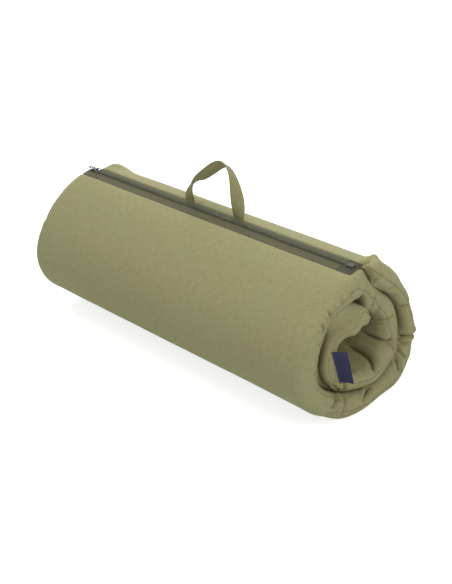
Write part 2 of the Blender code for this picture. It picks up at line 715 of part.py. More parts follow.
def build():
    clear_scene()
    canvas = material("canvas", (0.33, 0.33, 0.16), 0.9)
    foam = material("foam", (0.85, 0.82, 0.70), 0.95)
    tape = material("zipper_tape", (0.09, 0.08, 0.05), 0.85)
    nylon = material("zipper_nylon", (0.07, 0.08, 0.05), 0.45)
    film = material("zipper_film", (0.12, 0.13, 0.10), 0.3)
    metal = material("bright_metal", (0.75, 0.75, 0.75), 0.25, 1.0)
    webbing = material("strap_canvas", (0.33, 0.33, 0.16), 0.9)
    navy = material("label_weave", (0.03, 0.035, 0.12), 0.8)
    foam_core(foam)
    wrap_ends = (turn_of(WRAP_START_S), turn_of(WRAP_END_S, 1))
    cover_panel("cover_wrap_panel", *wrap_ends, -1, no_depth, canvas)
    cover_panel("cover_tuck_panel", TUCK_TURN, TIP_TURNS[1], -1, cover_outer, canvas)
    cover_panel("cover_inner_panel", turn_of(LIP_S), TIP_TURNS[1], 1, cover_outer, canvas)
    zipper_tapes(tape)
    zipper_chain(nylon, metal)
    zipper_bottom(nylon, film)
    crown_foot = slider(metal)
    pull_axis = pull_tab(metal, crown_foot)
    strap_axis = handle(webbing)
    label_along, label_axis = side_label(navy)
    across = zip_frame(SLIDER_X).col[1]
    print("pull tab turns at", tuple(round(v, 6) for v in pull_axis), "about", tuple(across)[:3])
    print("strap bends at", tuple(round(v, 6) for v in strap_axis), "about X")
    print("label turns at", tuple(label_axis), "about", tuple(label_along))


build()
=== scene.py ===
"""Rolled travel mattress: canvas cover, coil zipper, carry strap and blank label.

The roll's axis lies along X. "Turns" are counted from the zipper line round towards +Y and
inwards, "depth" is measured from the roll's surface towards its centre, and "seam distance"
runs over the cover's surface from the side seam, + on the inner panel and - on the outer one.
"""

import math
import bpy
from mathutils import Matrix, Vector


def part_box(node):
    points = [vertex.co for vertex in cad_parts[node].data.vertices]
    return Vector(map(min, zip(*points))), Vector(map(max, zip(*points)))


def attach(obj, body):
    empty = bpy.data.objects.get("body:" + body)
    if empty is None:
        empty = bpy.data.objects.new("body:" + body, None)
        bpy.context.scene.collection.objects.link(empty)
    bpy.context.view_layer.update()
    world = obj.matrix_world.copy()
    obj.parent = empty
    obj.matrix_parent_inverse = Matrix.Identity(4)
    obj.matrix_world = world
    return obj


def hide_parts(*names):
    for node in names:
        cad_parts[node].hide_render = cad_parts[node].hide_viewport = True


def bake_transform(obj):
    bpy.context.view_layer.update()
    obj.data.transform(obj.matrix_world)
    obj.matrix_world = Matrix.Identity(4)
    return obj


bl_info = {
    "name": "Rolled travel mattress",
    "version": (1, 0, 0),
    "blender": (4, 5, 0),
    "location": "3D View > Sidebar > Mattress",
    "description": "Canvas, zipper, strap and label of a rolled travel mattress round its solid parts",
    "category": "Add Mesh",
}

from collections import namedtuple

import bmesh
import bpy
import numpy as np
from bpy.props import FloatProperty, FloatVectorProperty, PointerProperty
from mathutils import Matrix, Vector, noise

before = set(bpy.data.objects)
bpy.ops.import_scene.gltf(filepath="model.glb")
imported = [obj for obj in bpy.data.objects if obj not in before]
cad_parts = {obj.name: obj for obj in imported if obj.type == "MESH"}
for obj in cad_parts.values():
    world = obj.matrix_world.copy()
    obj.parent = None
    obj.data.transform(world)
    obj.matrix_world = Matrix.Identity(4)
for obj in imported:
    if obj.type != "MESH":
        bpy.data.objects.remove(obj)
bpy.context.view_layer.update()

MM = 0.001

# The roll's section. Its angles are in degrees from the top towards the back.
ROLL_LENGTH = 596 * MM
ROLL_RADIUS = 117.7 * MM
SAG = 0.087
SAG_ANGLE = 109.5
EGG = 0.077
EGG_ANGLE = 10.0
ZIP_ANGLE = -6.0
FOOT_SWELL = 13.5 * MM
FOOT_SPAN = (165.0, 230.0)
FOOT_ANGLES = (154.5, 162.0, 185.5, 193.0)
FLOOR_CUT = 0.5 * MM
HOLLOW_RADIUS = 15.0 * MM

# The padded layer, and the channel in which its inner turn dives under its outer end
LAYER = 33.5 * MM
LAYER_TOP_EXTRA = 3.0 * MM
LAYER_FRONT_EXTRA = 3.0 * MM
TURN_GAP = 0.8 * MM
LIP_S = 6.0 * MM
DIVE_LENGTH = 43.0 * MM
DIP_LENGTH = 12.0 * MM
CHANNEL_DEPTH = 3.6 * MM

# The inner end is fuller than the layer, then sags clear of the turn outside it and tapers
INNER_END_SWELL = 26.0 * MM
SWELL_TURNS = (1.80, 1.91)
TIP_TURNS = (1.90, 2.103)
SAG_TURNS = (1.95, 2.103)
SAG_DEPTHS = (38.5 * MM, 75.0 * MM)
TAPER = 0.6

# Each row: turn, mm that the side's seam stands in, mm over which the side rounds off, and the
# seam's place from the outer face (0) to the inner one (1)
NEAR_SIDE = [
    (0.00, 9, 13, 0.10), (0.03, 9, 13, 0.54), (0.05, 9, 14, 0.44), (0.09, 11, 15, 0.55),
    (0.15, 12, 17, 0.52), (0.20, 12, 17, 0.39), (0.25, 11, 17, 0.45), (0.42, 0, 17, 0.48),
    (0.62, 5, 17, 0.45), (0.80, 13, 17, 0.45), (0.88, 14, 17, 0.28), (0.92, 12, 15, 0.42),
    (0.985, 11, 9, 0.49), (1.01, 14, 10, 0.76), (1.03, 16, 11, 0.68), (1.045, 17, 12, 0.47),
    (1.067, 19, 14, 0.33), (1.13, 20, 17, 0.61), (1.19, 20, 17, 0.71), (1.275, 20, 17, 0.70),
    (1.30, 19, 17, 0.61), (1.335, 15, 17, 0.38), (1.385, 12, 17, 0.60), (1.45, 9, 17, 0.66),
    (1.57, 12, 17, 0.56), (1.64, 14, 17, 0.52), (1.72, 13, 17, 0.42), (1.80, 12, 17, 0.34),
    (1.84, 13, 17, 0.42), (1.89, 14, 17, 0.57), (1.953, 14, 17, 0.62), (2.01, 14, 14, 0.27),
    (2.06, 12, 9, 0.30), (2.085, 15, 7, 0.32), (2.16, 28, 6, 0.32),
]
FAR_SIDE = [
    (0.00, 4, 18, 0.45), (0.30, 4, 22, 0.45), (0.60, 0, 22, 0.42), (0.80, 5, 24, 0.45), (0.95, 4, 22, 0.45),
    (1.20, 6, 20, 0.50), (1.50, 2, 20, 0.55), (1.80, 6, 20, 0.50), (2.16, 3, 20, 0.50),
]
SEAM_SHARES = (0.05, 0.95)      # the least and the most of the way through the layer

# By end: how far the outer end's corner stands in from the side, and over what length round the roll
CORNER_BACK = {1: (14 * MM, 22 * MM), -1: (26 * MM, 60 * MM)}

# Along the near end's front the seam is rolled in behind the edge: turn, and mm it lies behind it
SEAM_ROLLED = ((0.605, 0), (0.635, 12), (0.86, 12), (0.89, 0))

# The cover's points from the seam: shares of the way round the side, then lengths into the panel
SIDE_STEPS = np.array(
    [0, .02, .045, .08, .12, .17, .22, .28, .34, .41, .48, .56, .64, .72, .8, .88, .94, 1.0]
)
FLAT_STEPS = MM * np.array(
    [3, 6.5, 10, 14, 19, 24, 30, 37, 45, 54, 65, 78, 94, 113, 136, 163, 195, 232, 278]
)
OUTER_STEP = 0.0018             # turns from one station of the cover to the next
INNER_STEP = 0.0026

# Height of the canvas's threads, then thread pitch and height of the other weaves
CANVAS_RELIEF = 0.16 * MM
TAPE_WEAVE = (0.55 * MM, 0.2 * MM)
FINE_WEAVE = (0.4 * MM, 0.1 * MM)

# Zipper, measured across from the zipper line, + towards the back
TAPE_DEPTH = 1.3 * MM
TAPE_THICK = 0.6 * MM
TAPE_FRONT_S = -17.5 * MM
TAPE_BACK_S = 14.0 * MM
TAPE_TUCK = 0.4 * MM            # of each tape under the canvas's hem
TAPE_SLIT = 1.0 * MM            # from the zipper line to each tape's inner edge
ZIP_FAR_X = -281.0 * MM
ZIP_NEAR_X = 275.0 * MM
COIL_FAR_X = -274.0 * MM
COIL_NEAR_X = 252.0 * MM
COIL_REACH = (-0.25 * MM, 3.15 * MM)    # across, from beyond the zipper line to the outer edge
COIL_BASE = 0.3 * MM - TAPE_DEPTH       # height over the roll's surface
COIL_HEIGHT = 2.1 * MM
FRONT_COIL_EXTRA = 7.0 * MM     # the front coil runs on into the box
THREAD_ROWS = (1.7 * MM, 2.5 * MM)
THREAD_RADIUS = 0.16 * MM
COIL_STEPS = 10                 # points round one turn of a coil
HEM_DEPTH = 2.2 * MM            # the canvas's folded edge starts under the tape's level
HEM_LENGTH = 3.0 * MM
EDGE_ROUND = 0.25 * MM          # on the slider, the stops and the box

# Strap's middle line: x and height above the line it bends on, in mm, and degrees of twist, 0 where
# its width lies along the roll and 90 where it lies across it
STRAP_ROUTE = [
    (-57, 0, 0), (-57, 9, 10), (-52.5, 20, 38), (-47.5, 29, 75), (-34, 41, 120), (-14, 57, 135),
    (2, 69, 135), (16, 75, 128), (27, 69, 118), (35, 54, 98), (41, 34, 66), (45, 14, 28), (46, 0, 0),
]
STRAP_S = 15.3 * MM
STRAP_AXIS_HEIGHT = 1.0 * MM
STRAP_SUNK = 4.0 * MM           # of each end, below the line it bends on
STRAP_STEPS = 12                # points from one row of its route to the next

LABEL_TURNS = (1.655, 1.803)
LABEL_LENGTH = 63.0 * MM
LABEL_WIDTH = 22.0 * MM
LABEL_THICK = 0.6 * MM
LABEL_SOLID_LIFT = math.radians(20.0)
LABEL_PROUD = 0.9 * MM          # of the seam
LABEL_SKEW = 4.5 * MM           # the free edge stands this much further up than the sewn one

# Camera, set so that the roll's outline meets the photograph's
CAMERA_PLACE = (0.9730, -0.9783, 0.7861)
CAMERA_FORWARD = (-0.62080, 0.64285, -0.44873)
CAMERA_UP = (-0.31172, 0.32279, 0.89367)
CAMERA_LENS = 61.13
CAMERA_SHIFT = (-0.0027, -0.0041)
FLOOR_HALF = 8.0
FLOOR_GREY = 0.78


# Numbers and surfaces

def share_of(value, span):
    """How far a value lies through a span, from 0 to 1."""
    return np.clip((value - span[0]) / (span[1] - span[0]), 0.0, 1.0)


def smooth(value):
    value = np.clip(value, 0.0, 1.0)
    return value * value * (3.0 - 2.0 * value)


def bell(value):
    return np.exp(-value ** 2)


def unit(vectors):
    length = np.linalg.norm(vectors, axis=-1, keepdims=True)
    return vectors / np.maximum(length, 1e-12)


def stacked(*parts):
    return np.stack(np.broadcast_arrays(*parts), -1)


def walked(points):
    """Distance along each row of points, from 0 at its first point."""
    step = np.linalg.norm(np.diff(points, axis=-2), axis=-1)
    return np.concatenate([np.zeros_like(step[..., :1]), np.cumsum(step, axis=-1)], axis=-1)


def axes_matrix(x_axis, y_axis, z_axis, place):
    return Matrix.Translation(place) @ Matrix((x_axis, y_axis, z_axis)).transposed().to_4x4()


def placed(points, matrix):
    turned = np.array(matrix)
    return points @ turned[:3, :3].T + turned[:3, 3]


def section_radius(angle, depth=0.0):
    """Distance from the roll's centre at an angle in degrees. Inner turns are rounder."""
    round_part = ROLL_RADIUS - depth
    fade = np.maximum(round_part / ROLL_RADIUS, 0.0)
    lean = np.cos(np.radians(2.0 * (angle - SAG_ANGLE)))
    corners = np.cos(np.radians(3.0 * (angle - EGG_ANGLE)))
    bent = ROLL_RADIUS * (SAG * lean * fade ** 0.5 + EGG * corners * fade ** 2)
    foot = np.sin(np.pi * share_of(angle % 360.0, FOOT_SPAN)) ** 2
    return round_part + bent + FOOT_SWELL * foot * fade ** 4


ZIP_RADIUS = float(section_radius(ZIP_ANGLE))


def turn_of(distance, turn=0):
    return turn + distance / (2.0 * math.pi * ZIP_RADIUS)


def centre_of_section():
    """The roll's centre, from the wrap panel's box and the two bands it rests on."""
    low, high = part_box("cover_wrap_panel")
    angle = np.arange(0.0, 360.0, 1.0)
    sides = section_radius(angle) * np.sin(np.radians(angle))
    feet = np.array(FOOT_ANGLES)
    heights = section_radius(feet) * np.cos(np.radians(feet))
    return 0.5 * (low.y + high.y - sides.min() - sides.max()), -FLOOR_CUT - heights.min()


CENTRE_Y, CENTRE_Z = centre_of_section()


def roll_points(x, turn, depth):
    """World points on the roll."""
    angle = ZIP_ANGLE + 360.0 * turn
    radius = section_radius(angle, depth)
    y = CENTRE_Y + radius * np.sin(np.radians(angle))
    z = CENTRE_Z + radius * np.cos(np.radians(angle))
    return stacked(x, y, z)


def thickness(turn):
    angle = math.radians(ZIP_ANGLE + 360.0 * turn)
    swell = INNER_END_SWELL * smooth(share_of(turn, SWELL_TURNS))
    return LAYER + LAYER_TOP_EXTRA * math.cos(angle) - LAYER_FRONT_EXTRA * math.sin(angle) + swell


def crevice_depth(turn):
    """Depth of the underside of the mattress's outer end, a wedge that starts at its lip."""
    dive = smooth((turn - turn_of(LIP_S)) / turn_of(DIVE_LENGTH))
    return CHANNEL_DEPTH + (thickness(turn) - CHANNEL_DEPTH) * dive


def hem_depth(share):
    """Depth of the canvas's folded edge, from beside the tape (0) to the level canvas (1)."""
    return HEM_DEPTH * (1.0 - math.sqrt(1.0 - (1.0 - share) ** 2))


def outer_depth(turn):
    """Depth of the layer's outer face, with a folded hem along each tape."""
    back_hem = (turn_of(TAPE_BACK_S), turn_of(TAPE_BACK_S + HEM_LENGTH))
    front_hem = (turn_of(TAPE_FRONT_S, 1), turn_of(TAPE_FRONT_S - HEM_LENGTH, 1))
    if turn < back_hem[1]:
        return hem_depth(share_of(turn, back_hem))
    if turn < turn_of(LIP_S, 1):
        channel = CHANNEL_DEPTH + 0.5 * TURN_GAP - HEM_DEPTH
        dip = smooth((turn - front_hem[0]) / turn_of(DIP_LENGTH))
        return hem_depth(share_of(turn, front_hem)) + channel * dip
    share = share_of(turn, SAG_TURNS)
    sagged = SAG_DEPTHS[0] + share * (SAG_DEPTHS[1] - SAG_DEPTHS[0]) if share > 0.0 else 0.0
    return max(inner_depth(turn - 1.0) + TURN_GAP, sagged)


def inner_depth(turn):
    """Depth of the layer's inner face."""
    if turn < turn_of(LIP_S + DIVE_LENGTH):
        return crevice_depth(turn)
    outer = outer_depth(turn)
    full = min(thickness(turn), ROLL_RADIUS - HOLLOW_RADIUS - outer)
    return outer + full * (1.0 - share_of(turn, TIP_TURNS) ** 2) ** TAPER


def side_shape(turn, side):
    """How far in the side's seam stands, the length it rounds over, and the seam's share of the depth."""
    rows = np.array(NEAR_SIDE if side > 0 else FAR_SIDE)
    turns, values = rows[:, 0], rows[:, 1:]
    slopes = np.gradient(values, turns, axis=0)
    k = int(np.clip(np.searchsorted(turns, turn) - 1, 0, len(turns) - 2))
    s = share_of(turn, turns[k:k + 2])
    bend = (turns[k + 1] - turns[k]) * (s * (1 - s) ** 2 * slopes[k] - s * s * (1 - s) * slopes[k + 1])
    step_in, rounding, share = values[k] + smooth(s) * (values[k + 1] - values[k]) + bend
    return max(step_in, 0.0) * MM, rounding * MM, np.clip(share, *SEAM_SHARES)


def ripple(points, wavelength, seed):
    """Smooth noise from -1 to 1 at points given in metres."""
    flat = points.reshape(-1, points.shape[-1])
    values = [noise.noise((p[0] / wavelength + seed, p[1] / wavelength - seed, 0.37 * seed)) for p in flat]
    return np.array(values).reshape(points.shape[:-1])


def add_object(name, data):
    made = bpy.data.objects.new(name, data)
    bpy.context.scene.collection.objects.link(made)
    return made


def mesh_piece(name, points, faces, uvs, material, body, sharp=None):
    """Mesh object with a cloth map in metres, attached to the body if one is given."""
    mesh = bpy.data.meshes.new(name)
    mesh.from_pydata([tuple(p) for p in points], [], faces)
    add_map(mesh, "cloth", uvs)
    mesh.shade_smooth()
    if sharp is not None:
        mesh.set_sharp_from_angle(angle=math.radians(sharp))
    mesh.materials.append(material)
    piece = add_object(name, mesh)
    if body:
        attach(piece, body)
    return piece


def add_map(mesh, name, uvs):
    flat = [c for face in uvs for corner in face for c in corner]
    mesh.uv_layers.new(name=name).data.foreach_set("uv", flat)


def ring_faces(rows, columns):
    """Quads between closed rings of points, and the grid places of their corners for the cloth map."""
    places = [
        [(row, column), (row, column + 1), (row + 1, column + 1), (row + 1, column)]
        for row in range(rows - 1) for column in range(columns)
    ]
    return [[r * columns + c % columns for r, c in corners] for corners in places], places


def ringed_piece(name, rings, along, around, material, body, sharp=None):
    """Closed piece swept through rings of points, with flat ends. along and around map the cloth."""
    rows, columns = rings.shape[:2]
    faces, places = ring_faces(rows, columns)
    ends = [[(0, c) for c in range(columns)], [(rows - 1, c) for c in reversed(range(columns))]]
    faces += [[r * columns + c for r, c in corners] for corners in ends]
    uvs = [[(around[c], along[r]) for r, c in corners] for corners in places + ends]
    piece = mesh_piece(name, rings.reshape(-1, 3), faces, uvs, material, body, sharp)
    face_outwards(piece)
    return piece


def face_outwards(piece, merge=0.0):
    bm = bmesh.new()
    bm.from_mesh(piece.data)
    if merge > 0.0:
        bmesh.ops.remove_doubles(bm, verts=bm.verts, dist=merge)
    bmesh.ops.recalc_face_normals(bm, faces=bm.faces)
    bm.to_mesh(piece.data)
    bm.free()


# Folds in the cover

# Path points are (turn, seam distance in mm). depth and width are in mm, lip is the share of
# the depth that swells beside the fold, and roll leans the swelling over the fold.
Fold = namedtuple("Fold", "path depth width lip roll")
Swell = namedtuple("Swell", "turn distance reach_along reach_across height")

NEAR_FOLDS = [
    # Pleats of the outer turn, from its seam in to the crevice
    Fold([(.226, -8), (.223, 5), (.225, 11), (.221, 15), (.210, 18.5), (.198, 24)], 4.0, 2.8, .4, .3),
    Fold([(.302, -14), (.305, 2), (.308, 12), (.311, 18), (.318, 25)], 6.5, 3.2, .4, .4),
    Fold([(.322, 2), (.326, 12), (.330, 22)], 3.0, 2.6, .4, .1),
    Fold([(.387, 0), (.379, 10), (.370, 15), (.362, 24)], 5.5, 3.4, .4, .3),
    Fold([(.360, 3), (.353, 10), (.347, 18), (.342, 25)], 3.2, 2.6, .4, .1),
    Fold([(.061, -3), (.046, 4), (.045, 11), (.048, 20)], 1.8, 2.4, .4, .0),
    Fold([(.141, -3), (.124, 5), (.115, 12), (.096, 18)], 2.4, 3.0, .4, .0),
    Fold([(.168, 4), (.172, 13), (.167, 21)], 1.6, 2.6, .4, .0),
    Fold([(.394, 7), (.414, 4), (.434, -2)], 2.0, 2.6, .4, .0),
    Fold([(.53, 3), (.509, 10), (.488, 17), (.465, 26)], 7.5, 3.6, .4, .3),
    # Round the bottom, where the outer turn is pressed into a puff
    Fold([(.590, 27), (.604, 17), (.610, 10), (.615, 3), (.612, -4), (.604, -12)], 13.0, 4.4, .35, .5),
    Fold([(.640, 25), (.647, 16), (.653, 8), (.657, 0)], 12.0, 4.4, .3, .5),
    Fold([(.690, -4), (.684, 0), (.676, 4)], 1.0, 2.2, .4, .0),
    Fold([(.648, -12), (.638, -6), (.632, 2)], 2.0, 2.6, .4, .0),
    # Front rim
    Fold([(.958, -6), (.951, 0), (.946, 8)], 1.8, 2.4, .4, .0),
    Fold([(.930, -8), (.924, 0), (.918, 8)], 1.5, 2.6, .4, .0),
    Fold([(.894, -9), (.887, 0), (.880, 10)], 3.4, 2.4, .5, .2),
    Fold([(.866, -6), (.859, 2), (.852, 13)], 3.2, 2.4, .5, .2),
    Fold([(.830, 2), (.826, 7), (.822, 15)], 2.0, 2.6, .4, .0),
    Fold([(.768, 3), (.766, 8), (.764, 15)], 2.6, 2.6, .4, .0),
    # The gap between the front rim and the inner turn
    Fold([(1.60, -24), (1.67, -24), (1.74, -25), (1.81, -25), (1.87, -25), (1.91, -24)], 6.0, 5.0, .0, .0),
    # Dart at the zipper's end, beside the raised corner
    Fold([(.018, -2), (.025, -9), (.037, -17), (.056, -32)], 9.0, 3.0, .3, .4),
    # Inner turn: across its side, and along the hollow
    Fold([(1.240, -16), (1.238, -6), (1.236, 2), (1.232, 9), (1.228, 16)], 4.2, 2.6, .4, .3),
    Fold([(1.075, -10), (1.088, 2), (1.10, 14)], 2.0, 3.2, .4, .0),
    Fold([(1.13, -12), (1.145, 0), (1.16, 12)], 2.4, 3.2, .4, .0),
    Fold([(1.327, -12), (1.319, -4), (1.318, 3), (1.325, 12), (1.326, 26), (1.327, 60)], 6.0, 5.0, .3, .3),
    Fold([(1.352, -8), (1.345, 0), (1.334, 8), (1.328, 14)], 3.5, 2.6, .4, .2),
    Fold([(1.446, -4), (1.430, 8), (1.411, 17), (1.396, 30), (1.388, 44), (1.386, 80)], 8.0, 6.0, .3, .3),
    Fold([(1.54, 12), (1.52, 34), (1.50, 70)], 3.0, 6.0, .4, .0),
    Fold([(1.676, -4), (1.661, -8), (1.628, -12), (1.594, -20)], 1.8, 2.4, .4, .1),
    Fold([(1.630, 4), (1.621, -1), (1.602, -10), (1.592, -17)], 3.4, 2.2, .4, .1),
    Fold([(1.60, 8), (1.612, 20), (1.62, 44)], 2.2, 5.0, .4, .0),
]
NEAR_SWELLS = [
    # Raised corner beside the zipper's end
    Swell(.068, -33, 7, 7, 7.5), Swell(.048, -16, 12, 8, 2.5),
    # Puffs between the pleats
    Swell(.125, -6, 30, 20, 3.0), Swell(.205, -4, 20, 20, 4.5), Swell(.262, 4, 17, 16, 3.5),
    Swell(.298, -3, 12, 14, 4.0), Swell(.340, 6, 14, 14, 3.0), Swell(.44, -4, 34, 20, -3.5),
    Swell(.676, 11, 14, 12, 5.5), Swell(.630, 8, 10, 14, 5.0), Swell(.655, -10, 30, 14, 2.0),
    Swell(.90, -4, 30, 12, 2.0),
    # The inner turn presses up into the outer one
    Swell(1.058, -10, 16, 8, 5.5), Swell(1.16, -16, 30, 10, 2.5), Swell(1.25, -17, 42, 10, 6.5),
    Swell(1.33, -15, 24, 10, 4.0), Swell(.055, 16, 16, 8, -3.0), Swell(.16, 23, 36, 12, -3.0),
    Swell(.26, 24, 50, 12, -6.5),
    # The inner turn falls back beside the front rim
    Swell(1.775, -17, 70, 11, -6.0), Swell(1.895, -21, 42, 12, -7.0),
    # The inner end's lower edge is full
    Swell(1.985, 17, 20, 13, 3.0),
    # The hollow's wall buckles between its folds
    Swell(1.355, 26, 13, 34, 3.0),
    Swell(1.28, 22, 17, 30, 3.0), Swell(1.45, 34, 18, 30, 3.0), Swell(1.60, 30, 24, 30, 2.5),
    Swell(1.20, -2, 14, 10, 2.0),
]
FAR_FOLDS = [
    Fold([(.026, -6), (.042, -20), (.054, -38), (.058, -56)], 3.5, 3.0, .3, .3),
    Fold([(.845, -12), (.835, -3), (.828, 6)], 2.6, 4.0, .4, .0),
    Fold([(.22, -9), (.225, 0), (.23, 10)], 3.0, 2.2, .6, .4),
    Fold([(.36, -10), (.352, 0), (.35, 10)], 3.6, 2.2, .6, .5),
    Fold([(.11, -10), (.115, 0), (.12, 12)], 2.2, 2.0, .5, .3),
    Fold([(.60, -10), (.605, 0), (.60, 12)], 3.2, 2.4, .6, .4),
    Fold([(.71, -9), (.705, 0), (.70, 10)], 2.4, 2.0, .5, .3),
    Fold([(.93, -12), (.925, -2), (.92, 8)], 1.0, 2.4, .5, .3),
    Fold([(1.12, -6), (1.118, 6), (1.12, 30)], 2.6, 2.0, .5, .3),
    Fold([(1.27, -8), (1.275, 6), (1.28, 24), (1.28, 60)], 5.0, 2.6, .6, .6),
    Fold([(1.41, -4), (1.405, 10), (1.40, 30), (1.40, 70)], 5.5, 2.8, .6, .5),
    Fold([(1.56, -6), (1.555, 8), (1.55, 40)], 3.0, 2.6, .5, .3),
    Fold([(1.72, -8), (1.715, 2), (1.70, 20)], 2.6, 2.2, .5, .3),
]
FAR_SWELLS = [
    Swell(.085, -26, 30, 24, 5.5), Swell(.76, -6, 60, 22, 3.0), Swell(.88, -4, 22, 16, 1.5),
    Swell(.17, 0, 24, 16, 3.0), Swell(.29, 2, 24, 16, 3.0), Swell(.43, 0, 30, 16, 2.0),
    Swell(.65, 2, 24, 16, 2.5), Swell(1.34, 20, 18, 30, 4.0), Swell(1.48, 22, 20, 30, 3.0),
    Swell(1.90, 20, 24, 20, 5.0),
]

# How a fold is shaped, in its own widths, and the share of its length over which each end fades
FOLD_FADE = 0.22
VALLEY_ROUND = 0.2
LIP_PLACE, LIP_WIDTH = 1.8, 1.2
LEAN_PLACE = 0.8

# Where two turns press on each other, no fold shows. First the turns over which the inner panel
# comes free and the outer one is pressed, then lengths from the seam where the cloth goes plain.
INNER_FREE = (1.08, 1.13)
OUTER_PRESSED = (turn_of(-26 * MM, 1), turn_of(-26 * MM, 1) + 0.03)
INNER_PLAIN = (24 * MM, 34 * MM)
OUTER_PLAIN = 24 * MM
OUTER_PLAIN_FADE = 8 * MM

# How far the seam's groove reaches to each side. Then small shapes by the seam: wavelength along
# it, and reach to each side.
SEAM_REACH = 1.1 * MM
PUCKER = (9 * MM, 7 * MM)
SIDE_WAVE = (42 * MM, 26 * MM)

# Loose waves: their two wavelengths, and how far from the seam they stay high
LOOSE_WAVES = (85 * MM, 38 * MM)
LOOSE_REACH = 70 * MM

# All of it fades towards the layer's outer end and its inner one
END_FADES = (10 * MM, 32 * MM)
SEEDS = {1: 11.0, -1: 47.0}     # of the small waves, by end


